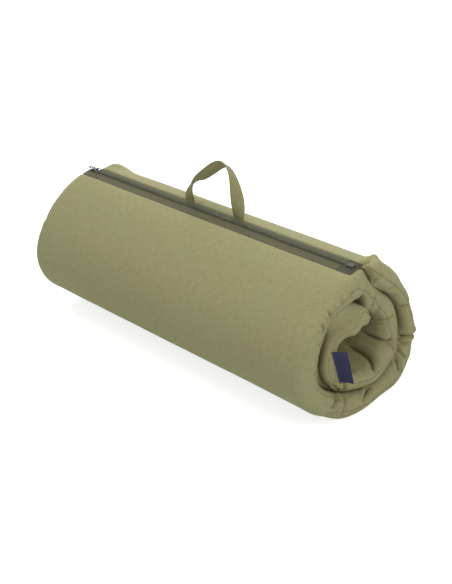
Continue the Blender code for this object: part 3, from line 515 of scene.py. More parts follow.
class HalfCover:
    """One half of the cover, from the middle of its outer panel over the side seam to the middle of
    its inner panel. side is +1 for the near end and -1 for the far one."""

    def __init__(self, turns, side):
        self.turns = turns
        self.side = side
        self.outer = np.array([outer_depth(t) for t in turns])
        self.inner = np.array([inner_depth(t) for t in turns])
        step_in, self.rounding, share = np.array([side_shape(t, side) for t in turns]).T
        self.seam = self.outer + share * (self.inner - self.outer)
        back, reach = CORNER_BACK[side]
        corner = 1.0 - smooth((turns - turn_of(LIP_S)) / turn_of(reach))
        self.flat_x = 0.5 * ROLL_LENGTH - step_in - self.rounding - back * corner
        self.base()
        self.directions()

    def base(self):
        """Points of the plain layer, and how far each lies from the seam."""
        quarter = np.radians(90.0 * SIDE_STEPS)
        round_reach = np.concatenate([np.cos(quarter), 0.0 * FLAT_STEPS])
        flat_reach = np.concatenate([0.0 * quarter, FLAT_STEPS])
        opening = np.concatenate([np.sin(quarter), np.ones(len(FLAT_STEPS))])
        last = len(opening) - 1
        order = np.arange(-last, last + 1)
        steps = np.abs(order)
        x = self.flat_x[:, None] + self.rounding[:, None] * round_reach[steps] - flat_reach[steps]
        x[:, steps == last] = 0.0
        rise = np.where(order < 0, (self.seam - self.outer)[:, None], (self.inner - self.seam)[:, None])
        depth = self.seam[:, None] + np.sign(order) * rise * opening[steps]
        self.points = roll_points(self.side * x, self.turns[:, None], depth)
        self.seam_column = last
        along_row = walked(self.points)
        self.distance = along_row - along_row[:, [last]]
        behind = np.interp(self.turns, *zip(*SEAM_ROLLED)) * MM if self.side > 0 else 0.0 * self.turns
        self.beside = self.distance - behind[:, None]
        self.metres = walked(self.points[:, last])

    def directions(self):
        """Directions along the turn, away from the seam, and out of the cloth, at each point."""
        self.along = unit(np.gradient(self.points, axis=0))
        self.across = unit(np.gradient(self.points, axis=1))
        self.out = unit(np.cross(self.across, self.along)) * self.side

    def shown(self):
        """1 where the cloth shows, and 0 where two turns press on each other."""
        turns = self.turns[:, None]
        pressed = 1.0 - smooth(share_of(turns, INNER_FREE))
        inner = 1.0 - smooth(share_of(self.distance, INNER_PLAIN)) * pressed
        rounded = -self.distance[:, [self.seam_column - len(SIDE_STEPS) + 1]]
        plain_from = np.maximum(OUTER_PLAIN, rounded - 3 * MM)
        plain = smooth((-self.distance - plain_from) / OUTER_PLAIN_FADE)
        outer = 1.0 - smooth(share_of(turns, OUTER_PRESSED)) * plain
        return np.where(self.distance > 0, inner, outer)

    def fold(self, fold, strength):
        """Press one fold into the cover."""
        path = np.array([(np.interp(t, self.turns, self.metres), d * MM) for t, d in fold.path])
        place = stacked(self.metres[:, None], self.distance)
        nearest = np.full(place.shape[:2], np.inf)
        signed = np.zeros_like(nearest)
        passed = np.zeros_like(nearest)
        normal = np.zeros_like(place)
        done = 0.0
        for start, end in zip(path, path[1:]):
            length = np.linalg.norm(end - start)
            heading = (end - start) / length
            turned = np.array([-heading[1], heading[0]])
            offset = place - start
            along = np.clip(offset @ heading, 0.0, length)
            gap = np.linalg.norm(offset - along[..., None] * heading, axis=-1)
            nearer = gap < nearest
            nearest[nearer] = gap[nearer]
            signed[nearer] = np.where(offset @ turned < 0, -gap, gap)[nearer]
            passed[nearer] = done + along[nearer]
            normal[nearer] = turned
            done += length
        fade = smooth(passed / (FOLD_FADE * done)) * smooth((done - passed) / (FOLD_FADE * done))
        depth = strength * fold.depth * MM * fade * self.mask
        widths = signed / (fold.width * MM)
        valley = np.exp(VALLEY_ROUND - np.hypot(widths, VALLEY_ROUND))
        lips = bell((widths - LIP_PLACE) / LIP_WIDTH) + bell((widths + LIP_PLACE) / LIP_WIDTH)
        self.raise_by(depth * (fold.lip * lips - valley))
        lean = depth * fold.roll * bell((widths - LEAN_PLACE) / LEAN_PLACE)
        self.move -= lean[..., None] * (self.along * normal[..., :1] + self.across * normal[..., 1:])

    def swell(self, swell):
        """Raise one rounded swelling, or press it in where its height is negative."""
        along = (self.metres[:, None] - np.interp(swell.turn, self.turns, self.metres)) / swell.reach_along
        across = (self.distance - swell.distance * MM) / swell.reach_across
        self.raise_by(swell.height * MM * bell(np.hypot(along, across) / MM) * self.mask)

    def raise_by(self, height):
        self.move += height[..., None] * self.out

    def shape(self, settings, folds, swells):
        """Add the seam, the small waves, the folds and the swellings, and give the points."""
        seed = SEEDS[self.side]
        self.mask = self.shown()
        self.move = np.zeros_like(self.points)
        place = stacked(self.metres[:, None], self.distance)
        by_seam = place * [1.0, 0.25]
        self.raise_by(-settings.seam_pull * bell(self.beside / SEAM_REACH))
        pucker = ripple(by_seam, PUCKER[0], seed + 3.1) * bell(self.distance / PUCKER[1])
        wave = ripple(by_seam, SIDE_WAVE[0], seed + 5.3) * bell(self.distance / SIDE_WAVE[1])
        loose = ripple(place, LOOSE_WAVES[0], seed + 7.7) + 0.5 * ripple(place, LOOSE_WAVES[1], seed + 9.2)
        near_seam = 0.35 + 0.65 * np.exp(-np.abs(self.distance) / LOOSE_REACH)
        height = settings.pucker_height * pucker + settings.side_wave * wave
        height += settings.cloth_wave * loose * near_seam
        self.raise_by(height * self.mask)
        for each in folds:
            self.fold(each, settings.fold_strength)
        for each in swells:
            self.swell(each)
        from_ends = np.minimum(self.metres / END_FADES[0], (self.metres[-1] - self.metres) / END_FADES[1])
        self.points = self.points + self.move * smooth(from_ends)[:, None, None]
        self.points[..., 2] = np.maximum(self.points[..., 2], 0.0)
        return self.points


def cover_turns():
    """Stations along the layer, closer together at the hems, the lip and the inner tip."""
    lip = [LIP_S + step * MM for step in (0.0, 0.3, 1.0, 2.5, 4.5, 6.5)]
    back_hem = [TAPE_BACK_S + HEM_LENGTH * share for share in (-.15, 0, .04, .12, .25, .45, .7, 1.0)]
    front_hem = [TAPE_FRONT_S - HEM_LENGTH * share for share in (1.0, .7, .45, .25, .12, .04, 0, -.1)]
    dive = [step * MM for step in range(-15, 10, 3)]
    turns = [turn_of(s) for s in lip + back_hem]
    second = [turn_of(s, 1) for s in front_hem + dive]
    tip = [TIP_TURNS[0] + (TIP_TURNS[1] - TIP_TURNS[0]) * math.sin(math.radians(a)) for a in range(0, 91, 6)]
    while turns[-1] < second[0] - OUTER_STEP:
        turns.append(turns[-1] + OUTER_STEP)
    turns += second
    while turns[-1] < tip[0] - INNER_STEP:
        turns.append(turns[-1] + INNER_STEP)
    return np.array(turns + tip)


# Shader nodes

def add_node(tree, kind, inputs=None, **settings):
    """Add one shader node. Inputs are values, or sockets to join."""
    made = tree.nodes.new(kind if kind.startswith("Node") else "ShaderNode" + kind)
    for name, value in settings.items():
        setattr(made, name, value)
    for name, value in (inputs or {}).items():
        set_socket(tree, made.inputs[name], value)
    return made


def set_socket(tree, socket, value):
    if isinstance(value, bpy.types.NodeSocket):
        tree.links.new(value, socket)
    else:
        socket.default_value = value


def calc(tree, operation, *values):
    return add_node(tree, "Math", dict(enumerate(values)), operation=operation).outputs[0]


def noise_at(tree, vector, scale, detail):
    return add_node(tree, "TexNoise", {"Vector": vector, "Scale": scale, "Detail": detail}).outputs[0]


def stretched(tree, vector, scale):
    return add_node(tree, "Mapping", {"Vector": vector, "Scale": scale}).outputs[0]


def spread(tree, value, low, high, first=0.0, last=1.0):
    """A value mapped from low..high to first..last."""
    return add_node(tree, "MapRange", {0: value, 1: low, 2: high, 3: first, 4: last}).outputs[0]


def part_of(tree, vector, axis):
    return add_node(tree, "SeparateXYZ", {0: vector}).outputs[axis]


def blend_colour(tree, share, low, high, mode="MIX"):
    made = add_node(tree, "Mix", {0: share, 6: low, 7: high}, data_type="RGBA", blend_type=mode)
    return made.outputs[2]


def rgba(colour, share=1.0):
    return (*[share * c for c in colour], 1.0)


def new_group(name, inputs, outputs):
    """Shader node group with named sockets, given as {name: (kind, default)}."""
    group = bpy.data.node_groups.new(name, "ShaderNodeTree")
    for socket_name, (kind, default) in inputs.items():
        socket = group.interface.new_socket(name=socket_name, in_out="INPUT", socket_type="NodeSocket" + kind)
        if default is not None:
            socket.default_value = default
    for socket_name in outputs:
        group.interface.new_socket(name=socket_name, in_out="OUTPUT", socket_type="NodeSocketFloat")
    entry = group.nodes.new("NodeGroupInput")
    leave = group.nodes.new("NodeGroupOutput")
    return group, entry.outputs, leave.inputs


def plain_weave_group(name):
    """Threads passing over and under each other."""
    group, entry, leave = new_group(
        name, {"Cloth map": ("Vector", None), "Thread pitch": ("Float", 0.7 * MM)}, ("Height", "Gap"),
    )
    waves = []
    for axis in (0, 1):
        phase = calc(group, "DIVIDE", part_of(group, entry["Cloth map"], axis), entry["Thread pitch"])
        waves.append(calc(group, "SINE", calc(group, "MULTIPLY", phase, math.pi)))
    crossing = calc(group, "ABSOLUTE", calc(group, "MULTIPLY", *waves))
    height = calc(group, "POWER", crossing, 0.6)
    group.links.new(height, leave["Height"])
    group.links.new(calc(group, "SUBTRACT", 1.0, height), leave["Gap"])
    return group


def uneven_yarn_group(name):
    """Thick and thin threads both ways, flecks in the yarn, and slow patches in the dye."""
    group, entry, leave = new_group(
        name,
        {
            "Cloth map": ("Vector", None), "Streak": ("Float", 0.06), "Patch": ("Float", 0.05),
            "Heather": ("Float", 0.45),
        },
        ("Tone", "Streaks", "Patches"),
    )
    cloth_map = entry["Cloth map"]
    threads = [
        noise_at(group, stretched(group, cloth_map, scale), 1.0, 2.0)
        for scale in ((1400.0, 60.0, 1.0), (60.0, 1400.0, 1.0))
    ]
    streaks = calc(group, "SUBTRACT", calc(group, "ADD", *threads), 1.0)
    patch = noise_at(group, cloth_map, 14.0, 3.0)
    tone = calc(group, "MULTIPLY_ADD", streaks, entry["Streak"], 1.0)
    tone = calc(group, "MULTIPLY_ADD", calc(group, "SUBTRACT", patch, 0.5), entry["Patch"], tone)
    for scale, share in ((420.0, 1.0), (120.0, 0.45)):
        fleck = calc(group, "SUBTRACT", noise_at(group, cloth_map, scale, 1.0), 0.5)
        tone = calc(group, "MULTIPLY_ADD", fleck, calc(group, "MULTIPLY", entry["Heather"], share), tone)
    group.links.new(tone, leave["Tone"])
    group.links.new(streaks, leave["Streaks"])
    group.links.new(spread(group, patch, 0.35, 0.65), leave["Patches"])
    return group


def painted_highlight_group(name):
    """Painted highlight mask: 1 on proud edges, 0 elsewhere."""
    group, entry, leave = new_group(name, {"Start": ("Float", 0.52), "End": ("Float", 0.6)}, ("Rub",))
    point = add_node(group, "NewGeometry").outputs["Pointiness"]
    group.links.new(spread(group, point, entry["Start"], entry["End"]), leave["Rub"])
    return group


GROUPS = {
    "Plain weave": plain_weave_group, "Uneven yarn": uneven_yarn_group, "Rubbed edges": painted_highlight_group,
}


def shared_group(tree, name, **inputs):
    """Add a shared node group to a material, made when it is first asked for."""
    made = add_node(tree, "Group")
    made.node_tree = bpy.data.node_groups.get(name) or GROUPS[name](name)
    for socket, value in inputs.items():
        set_socket(tree, made.inputs[socket.replace("_", " ")], value)
    return made.outputs


def blank_material(name, roughness, **sockets):
    made = bpy.data.materials.new(name)
    made.use_nodes = True
    shader = made.node_tree.nodes["Principled BSDF"]
    shader.inputs["Roughness"].default_value = roughness
    for socket, value in sockets.items():
        shader.inputs[socket.replace("_", " ")].default_value = value
    return made, made.node_tree, shader.inputs


def add_bump(tree, shader, height, strength, distance):
    bump = add_node(tree, "Bump", {"Height": height, "Strength": strength, "Distance": distance})
    tree.links.new(bump.outputs[0], shader["Normal"])


def woven_material(
        name, colour, pitch, relief, streak=0.12, patch=0.08, sheen=0.03, roughness=0.9, seam=False):
    """Woven cloth in one colour: threads, slubs and slow patches in the dye. With seam, painted shade as a
    dark line along the seam's crease.
    """
    made, tree, shader = blank_material(name, roughness, Sheen_Weight=sheen, Sheen_Roughness=0.5)
    cloth_map = add_node(tree, "UVMap", uv_map="cloth").outputs[0]
    weave = shared_group(tree, "Plain weave", Cloth_map=cloth_map, Thread_pitch=pitch)
    yarn = shared_group(tree, "Uneven yarn", Cloth_map=cloth_map, Streak=streak, Patch=patch)
    # Painted shade in the gaps between the threads, laid over the yarn's own tone
    tone = calc(tree, "MULTIPLY", yarn["Tone"], calc(tree, "MULTIPLY_ADD", weave["Gap"], -0.18, 1.05))
    base = blend_colour(tree, 1.0, rgba(colour), tone, mode="MULTIPLY")
    brownish, greenish = (1.02, 1.0, 0.98, 1.0), (0.97, 1.0, 1.0, 1.0)
    tint = blend_colour(tree, yarn["Patches"], brownish, greenish)
    base = blend_colour(tree, 1.0, base, tint, mode="MULTIPLY")
    if seam:
        # Painted shade: the colour is darkened in a thin line beside the seam, where its crease shades
        beside = part_of(tree, add_node(tree, "UVMap", uv_map="seam").outputs[0], 0)
        line = spread(tree, calc(tree, "ABSOLUTE", beside), 0.3 * MM, 1.0 * MM, 0.45, 0.0)
        base = blend_colour(tree, line, base, rgba(colour, 0.25))
    tree.links.new(base, shader["Base Color"])
    height = calc(tree, "MULTIPLY_ADD", yarn["Streaks"], 0.35, weave["Height"])
    add_bump(tree, shader, height, 0.7, relief)
    return made


def nylon_material(name, colour, roughness):
    """Satin nylon, with painted highlights that make its proud edges paler."""
    made, tree, shader = blank_material(name, 0.34, Coat_Weight=0.2, Coat_Roughness=roughness)
    grain = noise_at(tree, add_node(tree, "TexCoord").outputs["Object"], 900.0, 2.0)
    # Painted highlight: proud edges, found by pointiness, are made paler as glints
    edge_highlight = shared_group(tree, "Rubbed edges", Start=0.51, End=0.6)["Rub"]
    glint_colour = rgba([min(c * 1.9 + 0.03, 1.0) for c in colour])
    base = blend_colour(tree, grain, rgba(colour, 0.7), rgba(colour))
    tree.links.new(blend_colour(tree, edge_highlight, base, glint_colour), shader["Base Color"])
    tree.links.new(calc(tree, "MULTIPLY_ADD", grain, 0.25, roughness), shader["Roughness"])
    return made


def film_material(name, colour):
    """Thin dull film, pressed into the tape's weave."""
    made, tree, shader = blank_material(name, 0.4, Specular_IOR_Level=0.25)
    grain = noise_at(tree, add_node(tree, "TexCoord").outputs["Object"], 420.0, 3.0)
    base = blend_colour(tree, grain, rgba(colour, 0.75), rgba(colour, 1.3))
    tree.links.new(base, shader["Base Color"])
    add_bump(tree, shader, grain, 0.6, 0.2 * MM)
    return made


def metal_material(name, colour):
    """Bright die-cast metal with fine polishing marks, and painted reflections in its colour: bright on
    upward faces and proud edges, dark on its sides, in its hollows and in blotches.
    """
    made, tree, shader = blank_material(name, 0.2, Metallic=1.0)
    place = add_node(tree, "TexCoord").outputs
    fine = noise_at(tree, stretched(tree, place["Object"], (300.0, 2600.0, 2600.0)), 1.0, 4.0)
    edge_highlight = shared_group(tree, "Rubbed edges", Start=0.5, End=0.56)["Rub"]
    # Painted reflections: upward faces and proud edges keep the bright colour, while sides, hollows and noise
    # blotches are darkened
    upward = spread(tree, calc(tree, "ABSOLUTE", part_of(tree, place["Normal"], 2)), 0.55, 0.95)
    reflection_blotches = spread(tree, noise_at(tree, place["Object"], 240.0, 1.0), 0.37, 0.48)
    painted_reflection = calc(tree, "MULTIPLY", calc(tree, "MAXIMUM", upward, edge_highlight), reflection_blotches)
    tree.links.new(blend_colour(tree, painted_reflection, rgba(colour, 0.14), rgba(colour)), shader["Base Color"])
    tree.links.new(calc(tree, "MULTIPLY_ADD", fine, 0.16, 0.08), shader["Roughness"])
    add_bump(tree, shader, fine, 0.25, 0.05 * MM)
    return made


# Settings

def length_setting(name, description, default, low, high):
    """A length, given in mm."""
    return FloatProperty(
        name=name, description=description, default=default * MM, min=low * MM, max=high * MM,
        unit="LENGTH", precision=5,
    )


def colour_setting(name, description, *default):
    return FloatVectorProperty(
        name=name, description=description, default=default, subtype="COLOR", min=0.0, max=1.0,
    )


def angle_setting(name, description, default, high):
    """An angle, given in degrees."""
    return FloatProperty(
        name=name, description=description, default=math.radians(default), min=0.0,
        max=math.radians(high), unit="ROTATION",
    )


def share_setting(name, description, default, high):
    return FloatProperty(name=name, description=description, default=default, min=0.0, max=high)


def power_setting(name, description, default):
    return FloatProperty(
        name=name, description=description, default=default, min=0.0, max=400.0, unit="POWER",
    )


class ClothSettings(bpy.types.PropertyGroup):
    canvas_colour: colour_setting("Canvas", "Colour of the cover and the strap", 0.318, 0.302, 0.151)
    thread_pitch: length_setting("Thread pitch", "Distance between threads of the canvas", 0.75, 0.3, 2.0)
    seam_pull: length_setting("Seam pull", "How far the side seam is drawn into the padding", 1.1, 0.0, 4.0)
    pucker_height: length_setting("Puckers", "Height of the puckers along the side seam", 0.9, 0.0, 3.0)
    side_wave: length_setting("Side waves", "Height of the slow waves along the sides", 2.6, 0.0, 6.0)
    fold_strength: share_setting("Folds", "Depth of the folds, as a share of their usual depth", 1.45, 2.0)
    cloth_wave: length_setting("Loose cloth", "Height of the loose waves in the panels", 1.3, 0.0, 4.0)


class ZipperSettings(bpy.types.PropertyGroup):
    front_colour: colour_setting("Front tape", "Colour of the tape before the coils", 0.112, 0.103, 0.057)
    back_colour: colour_setting("Back tape", "Colour of the tape behind the coils", 0.088, 0.088, 0.050)
    coil_colour: colour_setting("Coils", "Colour of the nylon coils", 0.062, 0.064, 0.040)
    coil_pitch: length_setting("Coil pitch", "Distance between turns of a coil", 2.5, 0.8, 4.0)
    wire: length_setting("Coil wire", "Thickness of the coils' nylon wire", 1.05, 0.3, 1.4)
    metal_colour: colour_setting("Slider", "Colour of the slider, tab and stops", 0.86, 0.86, 0.85)
    film_colour: colour_setting("End film", "Colour of the film on the near ends", 0.036, 0.034, 0.013)


class StrapSettings(bpy.types.PropertyGroup):
    width: length_setting("Width", "Width of the carry strap", 20.0, 15.0, 40.0)
    thickness: length_setting("Thickness", "Thickness of the folded strap", 2.0, 1.0, 4.0)


class LabelSettings(bpy.types.PropertyGroup):
    colour: colour_setting("Label", "Colour of the blank woven label", 0.015, 0.017, 0.078)
    lift: angle_setting("Lift", "Angle at which its free edge stands off the side", 74.0, 90.0)
    curl: angle_setting("Curl", "Angle by which its lower corner rolls back", 10.0, 120.0)


class StageSettings(bpy.types.PropertyGroup):
    key_power: power_setting("Key light", "Power of the large light above the roll", 31.0)
    end_power: power_setting("End light", "Power of the light that faces the near end", 14.0)
    back_power: power_setting("Back light", "Power of the light behind the far end", 24.0)
    floor_glow: share_setting("Floor glow", "How much the floor shines towards the camera", 0.76, 1.0)
    surround: share_setting("Surround", "Strength of the even light from all round", 0.47, 2.0)


class MattressRollSettings(bpy.types.PropertyGroup):
    cloth: PointerProperty(type=ClothSettings)
    zipper: PointerProperty(type=ZipperSettings)
    strap: PointerProperty(type=StrapSettings)
    label: PointerProperty(type=LabelSettings)
    stage: PointerProperty(type=StageSettings)


# Operators

class MATTRESS_OT_stage(bpy.types.Operator):
    """Add the camera, the floor and the studio lights"""
    bl_idname = "mattress.stage"
    bl_label = "Stage"

    # Each light: name, its power's setting, colour, size and place
    LIGHTS = (
        ("key_light", "key_power", (1.0, 0.985, 0.955), 2.4, (-0.5, 0.15, 2.25)),
        ("end_light", "end_power", (1.0, 0.955, 0.92), 1.0, (1.6, -0.45, 1.6)),
        ("back_light", "back_power", (1.0, 1.0, 1.0), 0.7, (-1.95, 1.55, 1.15)),
    )
    AIM = (0.0, 0.0, 0.1)
    SURROUND_COLOUR = (0.97, 1.0, 0.97)

    def execute(self, context):
        settings = context.scene.mattress_roll.stage
        context.scene.view_settings.view_transform = "Standard"
        self.camera(context)
        self.floor(settings)
        self.lights(context, settings)
        return {"FINISHED"}

    def camera(self, context):
        data = bpy.data.cameras.new("camera")
        data.lens = CAMERA_LENS
        data.sensor_width = 36.0
        data.shift_x, data.shift_y = CAMERA_SHIFT
        forward = Vector(CAMERA_FORWARD).normalized()
        right = forward.cross(Vector(CAMERA_UP)).normalized()
        camera = add_object("camera", data)
        camera.matrix_world = axes_matrix(right, right.cross(forward), -forward, CAMERA_PLACE)
        context.scene.camera = camera

    def floor(self, settings):
        mesh = bpy.data.meshes.new("floor")
        corners = ((-1, -1), (1, -1), (1, 1), (-1, 1))
        mesh.from_pydata([(x * FLOOR_HALF, y * FLOOR_HALF, 0.0) for x, y in corners], [], [(0, 1, 2, 3)])
        made, tree, shader = blank_material("studio_floor", 0.9)
        path = add_node(tree, "LightPath").outputs
        seen = calc(tree, "ADD", path["Is Camera Ray"], path["Is Glossy Ray"])
        seen = calc(tree, "MINIMUM", calc(tree, "ADD", seen, path["Is Transmission Ray"]), 1.0)
        glow = blend_colour(tree, seen, rgba((0, 0, 0)), rgba((1, 1, 1)))
        tree.links.new(glow, shader["Emission Color"])
        shader["Emission Strength"].default_value = settings.floor_glow
        shader["Base Color"].default_value = rgba([FLOOR_GREY] * 3)
        mesh.materials.append(made)
        floor = add_object("floor", mesh)

    def lights(self, context, settings):
        world = bpy.data.worlds.new("studio")
        world.use_nodes = True
        tree = world.node_tree
        seen = add_node(tree, "LightPath").outputs["Is Camera Ray"]
        tone = blend_colour(tree, seen, rgba(self.SURROUND_COLOUR, settings.surround), rgba((1, 1, 1)))
        tree.links.new(tone, tree.nodes["Background"].inputs["Color"])
        context.scene.world = world
        for name, power, colour, size, place in self.LIGHTS:
            data = bpy.data.lights.new(name, "AREA")
            data.energy = getattr(settings, power)
            data.color = colour
            data.shape = "DISK"
            data.size = size
            lamp = add_object(name, data)
            lamp.location = place
            aim = Vector(self.AIM) - Vector(place)
            lamp.rotation_euler = aim.to_track_quat("-Z", "Y").to_euler()


class MATTRESS_OT_cover(bpy.types.Operator):
    """Build the padded canvas cover, rolled up"""
    bl_idname = "mattress.cover"
    bl_label = "Canvas cover"

    def execute(self, context):
        settings = context.scene.mattress_roll.cloth
        turns = cover_turns()
        near = HalfCover(turns, 1)
        far = HalfCover(turns, -1)
        near_points = near.shape(settings, NEAR_FOLDS, NEAR_SWELLS)
        far_points = far.shape(settings, FAR_FOLDS, FAR_SWELLS)
        near_points[:, [0, -1]] = 0.5 * (near_points[:, [0, -1]] + far_points[:, [0, -1]])
        ring = np.concatenate([near_points, far_points[:, -2:0:-1]], axis=1)
        rows, columns = ring.shape[:2]
        far_map = 2.0 * near.distance[:, [-1]] - far.distance[:, -2::-1]
        across = np.concatenate([near.distance, far_map], axis=1)
        beside = np.concatenate([near.beside, -far.beside[:, -2:0:-1]], axis=1)
        faces, places = ring_faces(rows, columns)
        uvs = [[(across[r, c], near.metres[r]) for r, c in corners] for corners in places]
        seam_uvs = [[(beside[r, c % columns], near.metres[r]) for r, c in corners] for corners in places]
        canvas = woven_material(
            "canvas_cloth", settings.canvas_colour, settings.thread_pitch, CANVAS_RELIEF, seam=True,
        )
        cover = mesh_piece("canvas_cover", ring.reshape(-1, 3), faces, uvs, canvas, None)
        add_map(cover.data, "seam", seam_uvs)
        close_ends(cover, rows, columns, near.seam_column)
        face_outwards(cover, merge=0.01 * MM)
        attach(cover, "roll")
        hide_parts("foam_core", "cover_wrap_panel", "cover_tuck_panel", "cover_inner_panel")
        return {"FINISHED"}


def close_ends(piece, rows, columns, seam_column):
    """Zip up the two panels along the layer's outer and inner end."""
    bm = bmesh.new()
    bm.from_mesh(piece.data)
    bm.verts.ensure_lookup_table()
    pairs = {}
    for row in (0, rows - 1):
        for step in range(1, columns // 2):
            kept = bm.verts[row * columns + (seam_column - step) % columns]
            other = bm.verts[row * columns + (seam_column + step) % columns]
            kept.co = 0.5 * (kept.co + other.co)
            other.co = kept.co
            pairs[other] = kept
    bmesh.ops.weld_verts(bm, targetmap=pairs)
    bm.to_mesh(piece.data)
    bm.free()


def zip_matrix(x, distance=0.0, height=0.0):
    """X along the zipper, Y across it towards the back, Z out of the roll."""
    before, after, middle = (
        Vector(roll_points(x, turn_of(distance + step), 0.0)) for step in (-5 * MM, 5 * MM, 0.0)
    )
    across = (after - before).normalized()
    along = Vector((1.0, 0.0, 0.0))
    out = along.cross(across)
    return axes_matrix(along, across, out, middle + out * height)


class MATTRESS_OT_tapes(bpy.types.Operator):
    """Build the two woven zipper tapes"""
    bl_idname = "mattress.tapes"
    bl_label = "Zipper tapes"

    # Across a tape: share of its width, and mm that it rises. Its inner edge is corded, its outer one tucked.
    PROFILE = (
        (0.0, 0.1), (0.05, 0.3), (0.12, 0.34), (0.19, 0.1), (0.27, 0.0), (0.4, 0.0), (0.55, 0.0),
        (0.7, 0.0), (0.85, -0.1), (0.93, -0.3), (1.0, -0.7),
    )
    STATIONS = 190
    WAVE = 0.35 * MM
    WAVELENGTH = 60 * MM
    WAVE_RISE = 0.35                # of the wave's shift

    def execute(self, context):
        settings = context.scene.mattress_roll.zipper
        share, lift = np.array(self.PROFILE).T
        lift = lift * MM
        stations = np.linspace(ZIP_FAR_X, ZIP_NEAR_X, self.STATIONS)
        sides = (
            ("front", settings.front_colour, -TAPE_SLIT, TAPE_FRONT_S - TAPE_TUCK),
            ("back", settings.back_colour, TAPE_SLIT, TAPE_BACK_S + TAPE_TUCK),
        )
        for name, colour, inner, outer in sides:
            cloth = woven_material(
                f"tape_cloth_{name}", colour, *TAPE_WEAVE, streak=0.25, patch=0.1, sheen=0.05,
            )
            across = inner + share * (outer - inner)
            rings = []
            for x in stations:
                shift = self.WAVE * noise.noise((x / self.WAVELENGTH, 2.2, inner * 900))
                moved = across + shift * share ** 2
                rise = lift + self.WAVE_RISE * abs(shift) * share
                top = roll_points(x, turn_of(moved), TAPE_DEPTH - rise)
                low = roll_points(x, turn_of(moved[::-1]), TAPE_DEPTH + TAPE_THICK - 0.6 * lift[::-1])
                rings.append(np.concatenate([top, low]))
            around = np.concatenate([across, 2 * across[-1] - across[::-1], [2 * across[-1] - across[0]]])
            piece = ringed_piece(
                f"tape_{name}", np.array(rings), stations, around, cloth, "roll", sharp=60,
            )
            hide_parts(f"zipper_tape_{name}")
        return {"FINISHED"}


def tube_rings(path, radius, sides):
    """Rings of points round a path."""
    tangent = unit(np.gradient(path, axis=0))
    side = unit(np.cross(tangent, np.array([0.0, 0.0, 1.0]) + 1e-3))
    up = np.cross(side, tangent)
    angle = np.linspace(0.0, 2.0 * np.pi, sides, endpoint=False)[:, None]
    return path[:, None] + radius * (np.cos(angle) * side[:, None] + np.sin(angle) * up[:, None])


class MATTRESS_OT_chain(bpy.types.Operator):
    """Wind the two nylon coils and their sewing threads"""
    bl_idname = "mattress.chain"
    bl_label = "Zipper coils"

    def execute(self, context):
        settings = context.scene.mattress_roll.zipper
        nylon = nylon_material("coil_nylon", settings.coil_colour, 0.14)
        thread = woven_material("coil_thread", settings.back_colour, *FINE_WEAVE)
        pitch = settings.coil_pitch
        radius = 0.5 * settings.wire
        centre = 0.5 * (COIL_REACH[1] + COIL_REACH[0])
        half_width = 0.5 * (COIL_REACH[1] - COIL_REACH[0]) - radius
        half_height = 0.5 * COIL_HEIGHT - radius
        for name, side in (("front", -1), ("back", 1)):
            near = COIL_NEAR_X + (FRONT_COIL_EXTRA if side < 0 else 0.0)
            turns = int((near - COIL_FAR_X) / pitch)
            wound = np.arange(turns * COIL_STEPS) / COIL_STEPS
            angle = 2.0 * np.pi * wound
            x = COIL_FAR_X + pitch * (wound + (0.5 if side > 0 else 0.0))
            y = side * (centre - half_width * np.cos(angle))
            z = COIL_BASE + radius + half_height * (1.0 + np.sin(angle))
            rings = placed(tube_rings(stacked(x, y, z), radius, 6), zip_matrix(0.0))
            along = np.arange(len(rings)) * 0.5 * MM
            around = np.arange(7) * 0.4 * MM
            coil = ringed_piece(f"coil_{name}", rings, along, around, nylon, "roll")
            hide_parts(f"zipper_coil_{name}")
            self.sewing(name, side, near, pitch, thread)
        return {"FINISHED"}

    def sewing(self, name, side, near, pitch, thread):
        """Lockstitch over the coil: the thread dips between one coil turn and the next."""
        x = np.arange(COIL_FAR_X, near - 2 * MM, pitch / 4)
        around = np.arange(6) * 0.2 * MM
        for row, y in enumerate(THREAD_ROWS):
            dip = 0.12 * MM * np.cos(2.0 * np.pi * (x - COIL_FAR_X) / pitch + row)
            path = stacked(x, side * y, COIL_BASE + COIL_HEIGHT + dip)
            rings = placed(tube_rings(path, THREAD_RADIUS, 5), zip_matrix(0.0))
            ringed_piece(f"coil_thread_{name}_{row}", rings, x, around, thread, "roll")


class MATTRESS_OT_metal(bpy.types.Operator):
    """Finish the slider, its tab, the stops and the zipper's near end"""
    bl_idname = "mattress.metal"
    bl_label = "Slider and ends"

    def execute(self, context):
        settings = context.scene.mattress_roll.zipper
        metal = metal_material("slider_metal", settings.metal_colour)
        nylon = nylon_material("box_nylon", [0.6 * c for c in settings.coil_colour], 0.08)
        film = film_material("end_film", settings.film_colour)
        finishes = {
            "slider_body": metal, "slider_crown": metal, "slider_pull_tab": metal,
            "zipper_top_stop_front": metal, "zipper_top_stop_back": metal,
            "zipper_retainer_box": nylon, "zipper_insertion_pin": nylon,
            "zipper_end_film_front": film, "zipper_end_film_back": film,
        }
        for name, finish in finishes.items():
            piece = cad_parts[name]
            for material_slot in piece.material_slots:
                material_slot.material = finish
            edge = piece.modifiers.new("Rounded edges", "BEVEL")
            edge.width = EDGE_ROUND
            edge.segments = 2
            edge.limit_method = "ANGLE"
            edge.angle_limit = math.radians(40.0)
        return {"FINISHED"}


def strap_line():
    """Middle points of the strap: a smooth curve through its route, as (x, height, twist)."""
    route = np.array(STRAP_ROUTE, float) * [MM, MM, np.pi / 180.0]
    ends = np.vstack([2 * route[0] - route[1], route, 2 * route[-1] - route[-2]])
    points = []
    for a, b, c, d in zip(ends, ends[1:], ends[2:], ends[3:]):
        for t in np.arange(0.0, 1.0, 1.0 / STRAP_STEPS):
            bend = 2 * a - 5 * b + 4 * c - d
            twist = 3 * b - a - 3 * c + d
            points.append(0.5 * (2 * b + (c - a) * t + bend * t * t + twist * t ** 3))
    return np.array(points + [route[-1]])


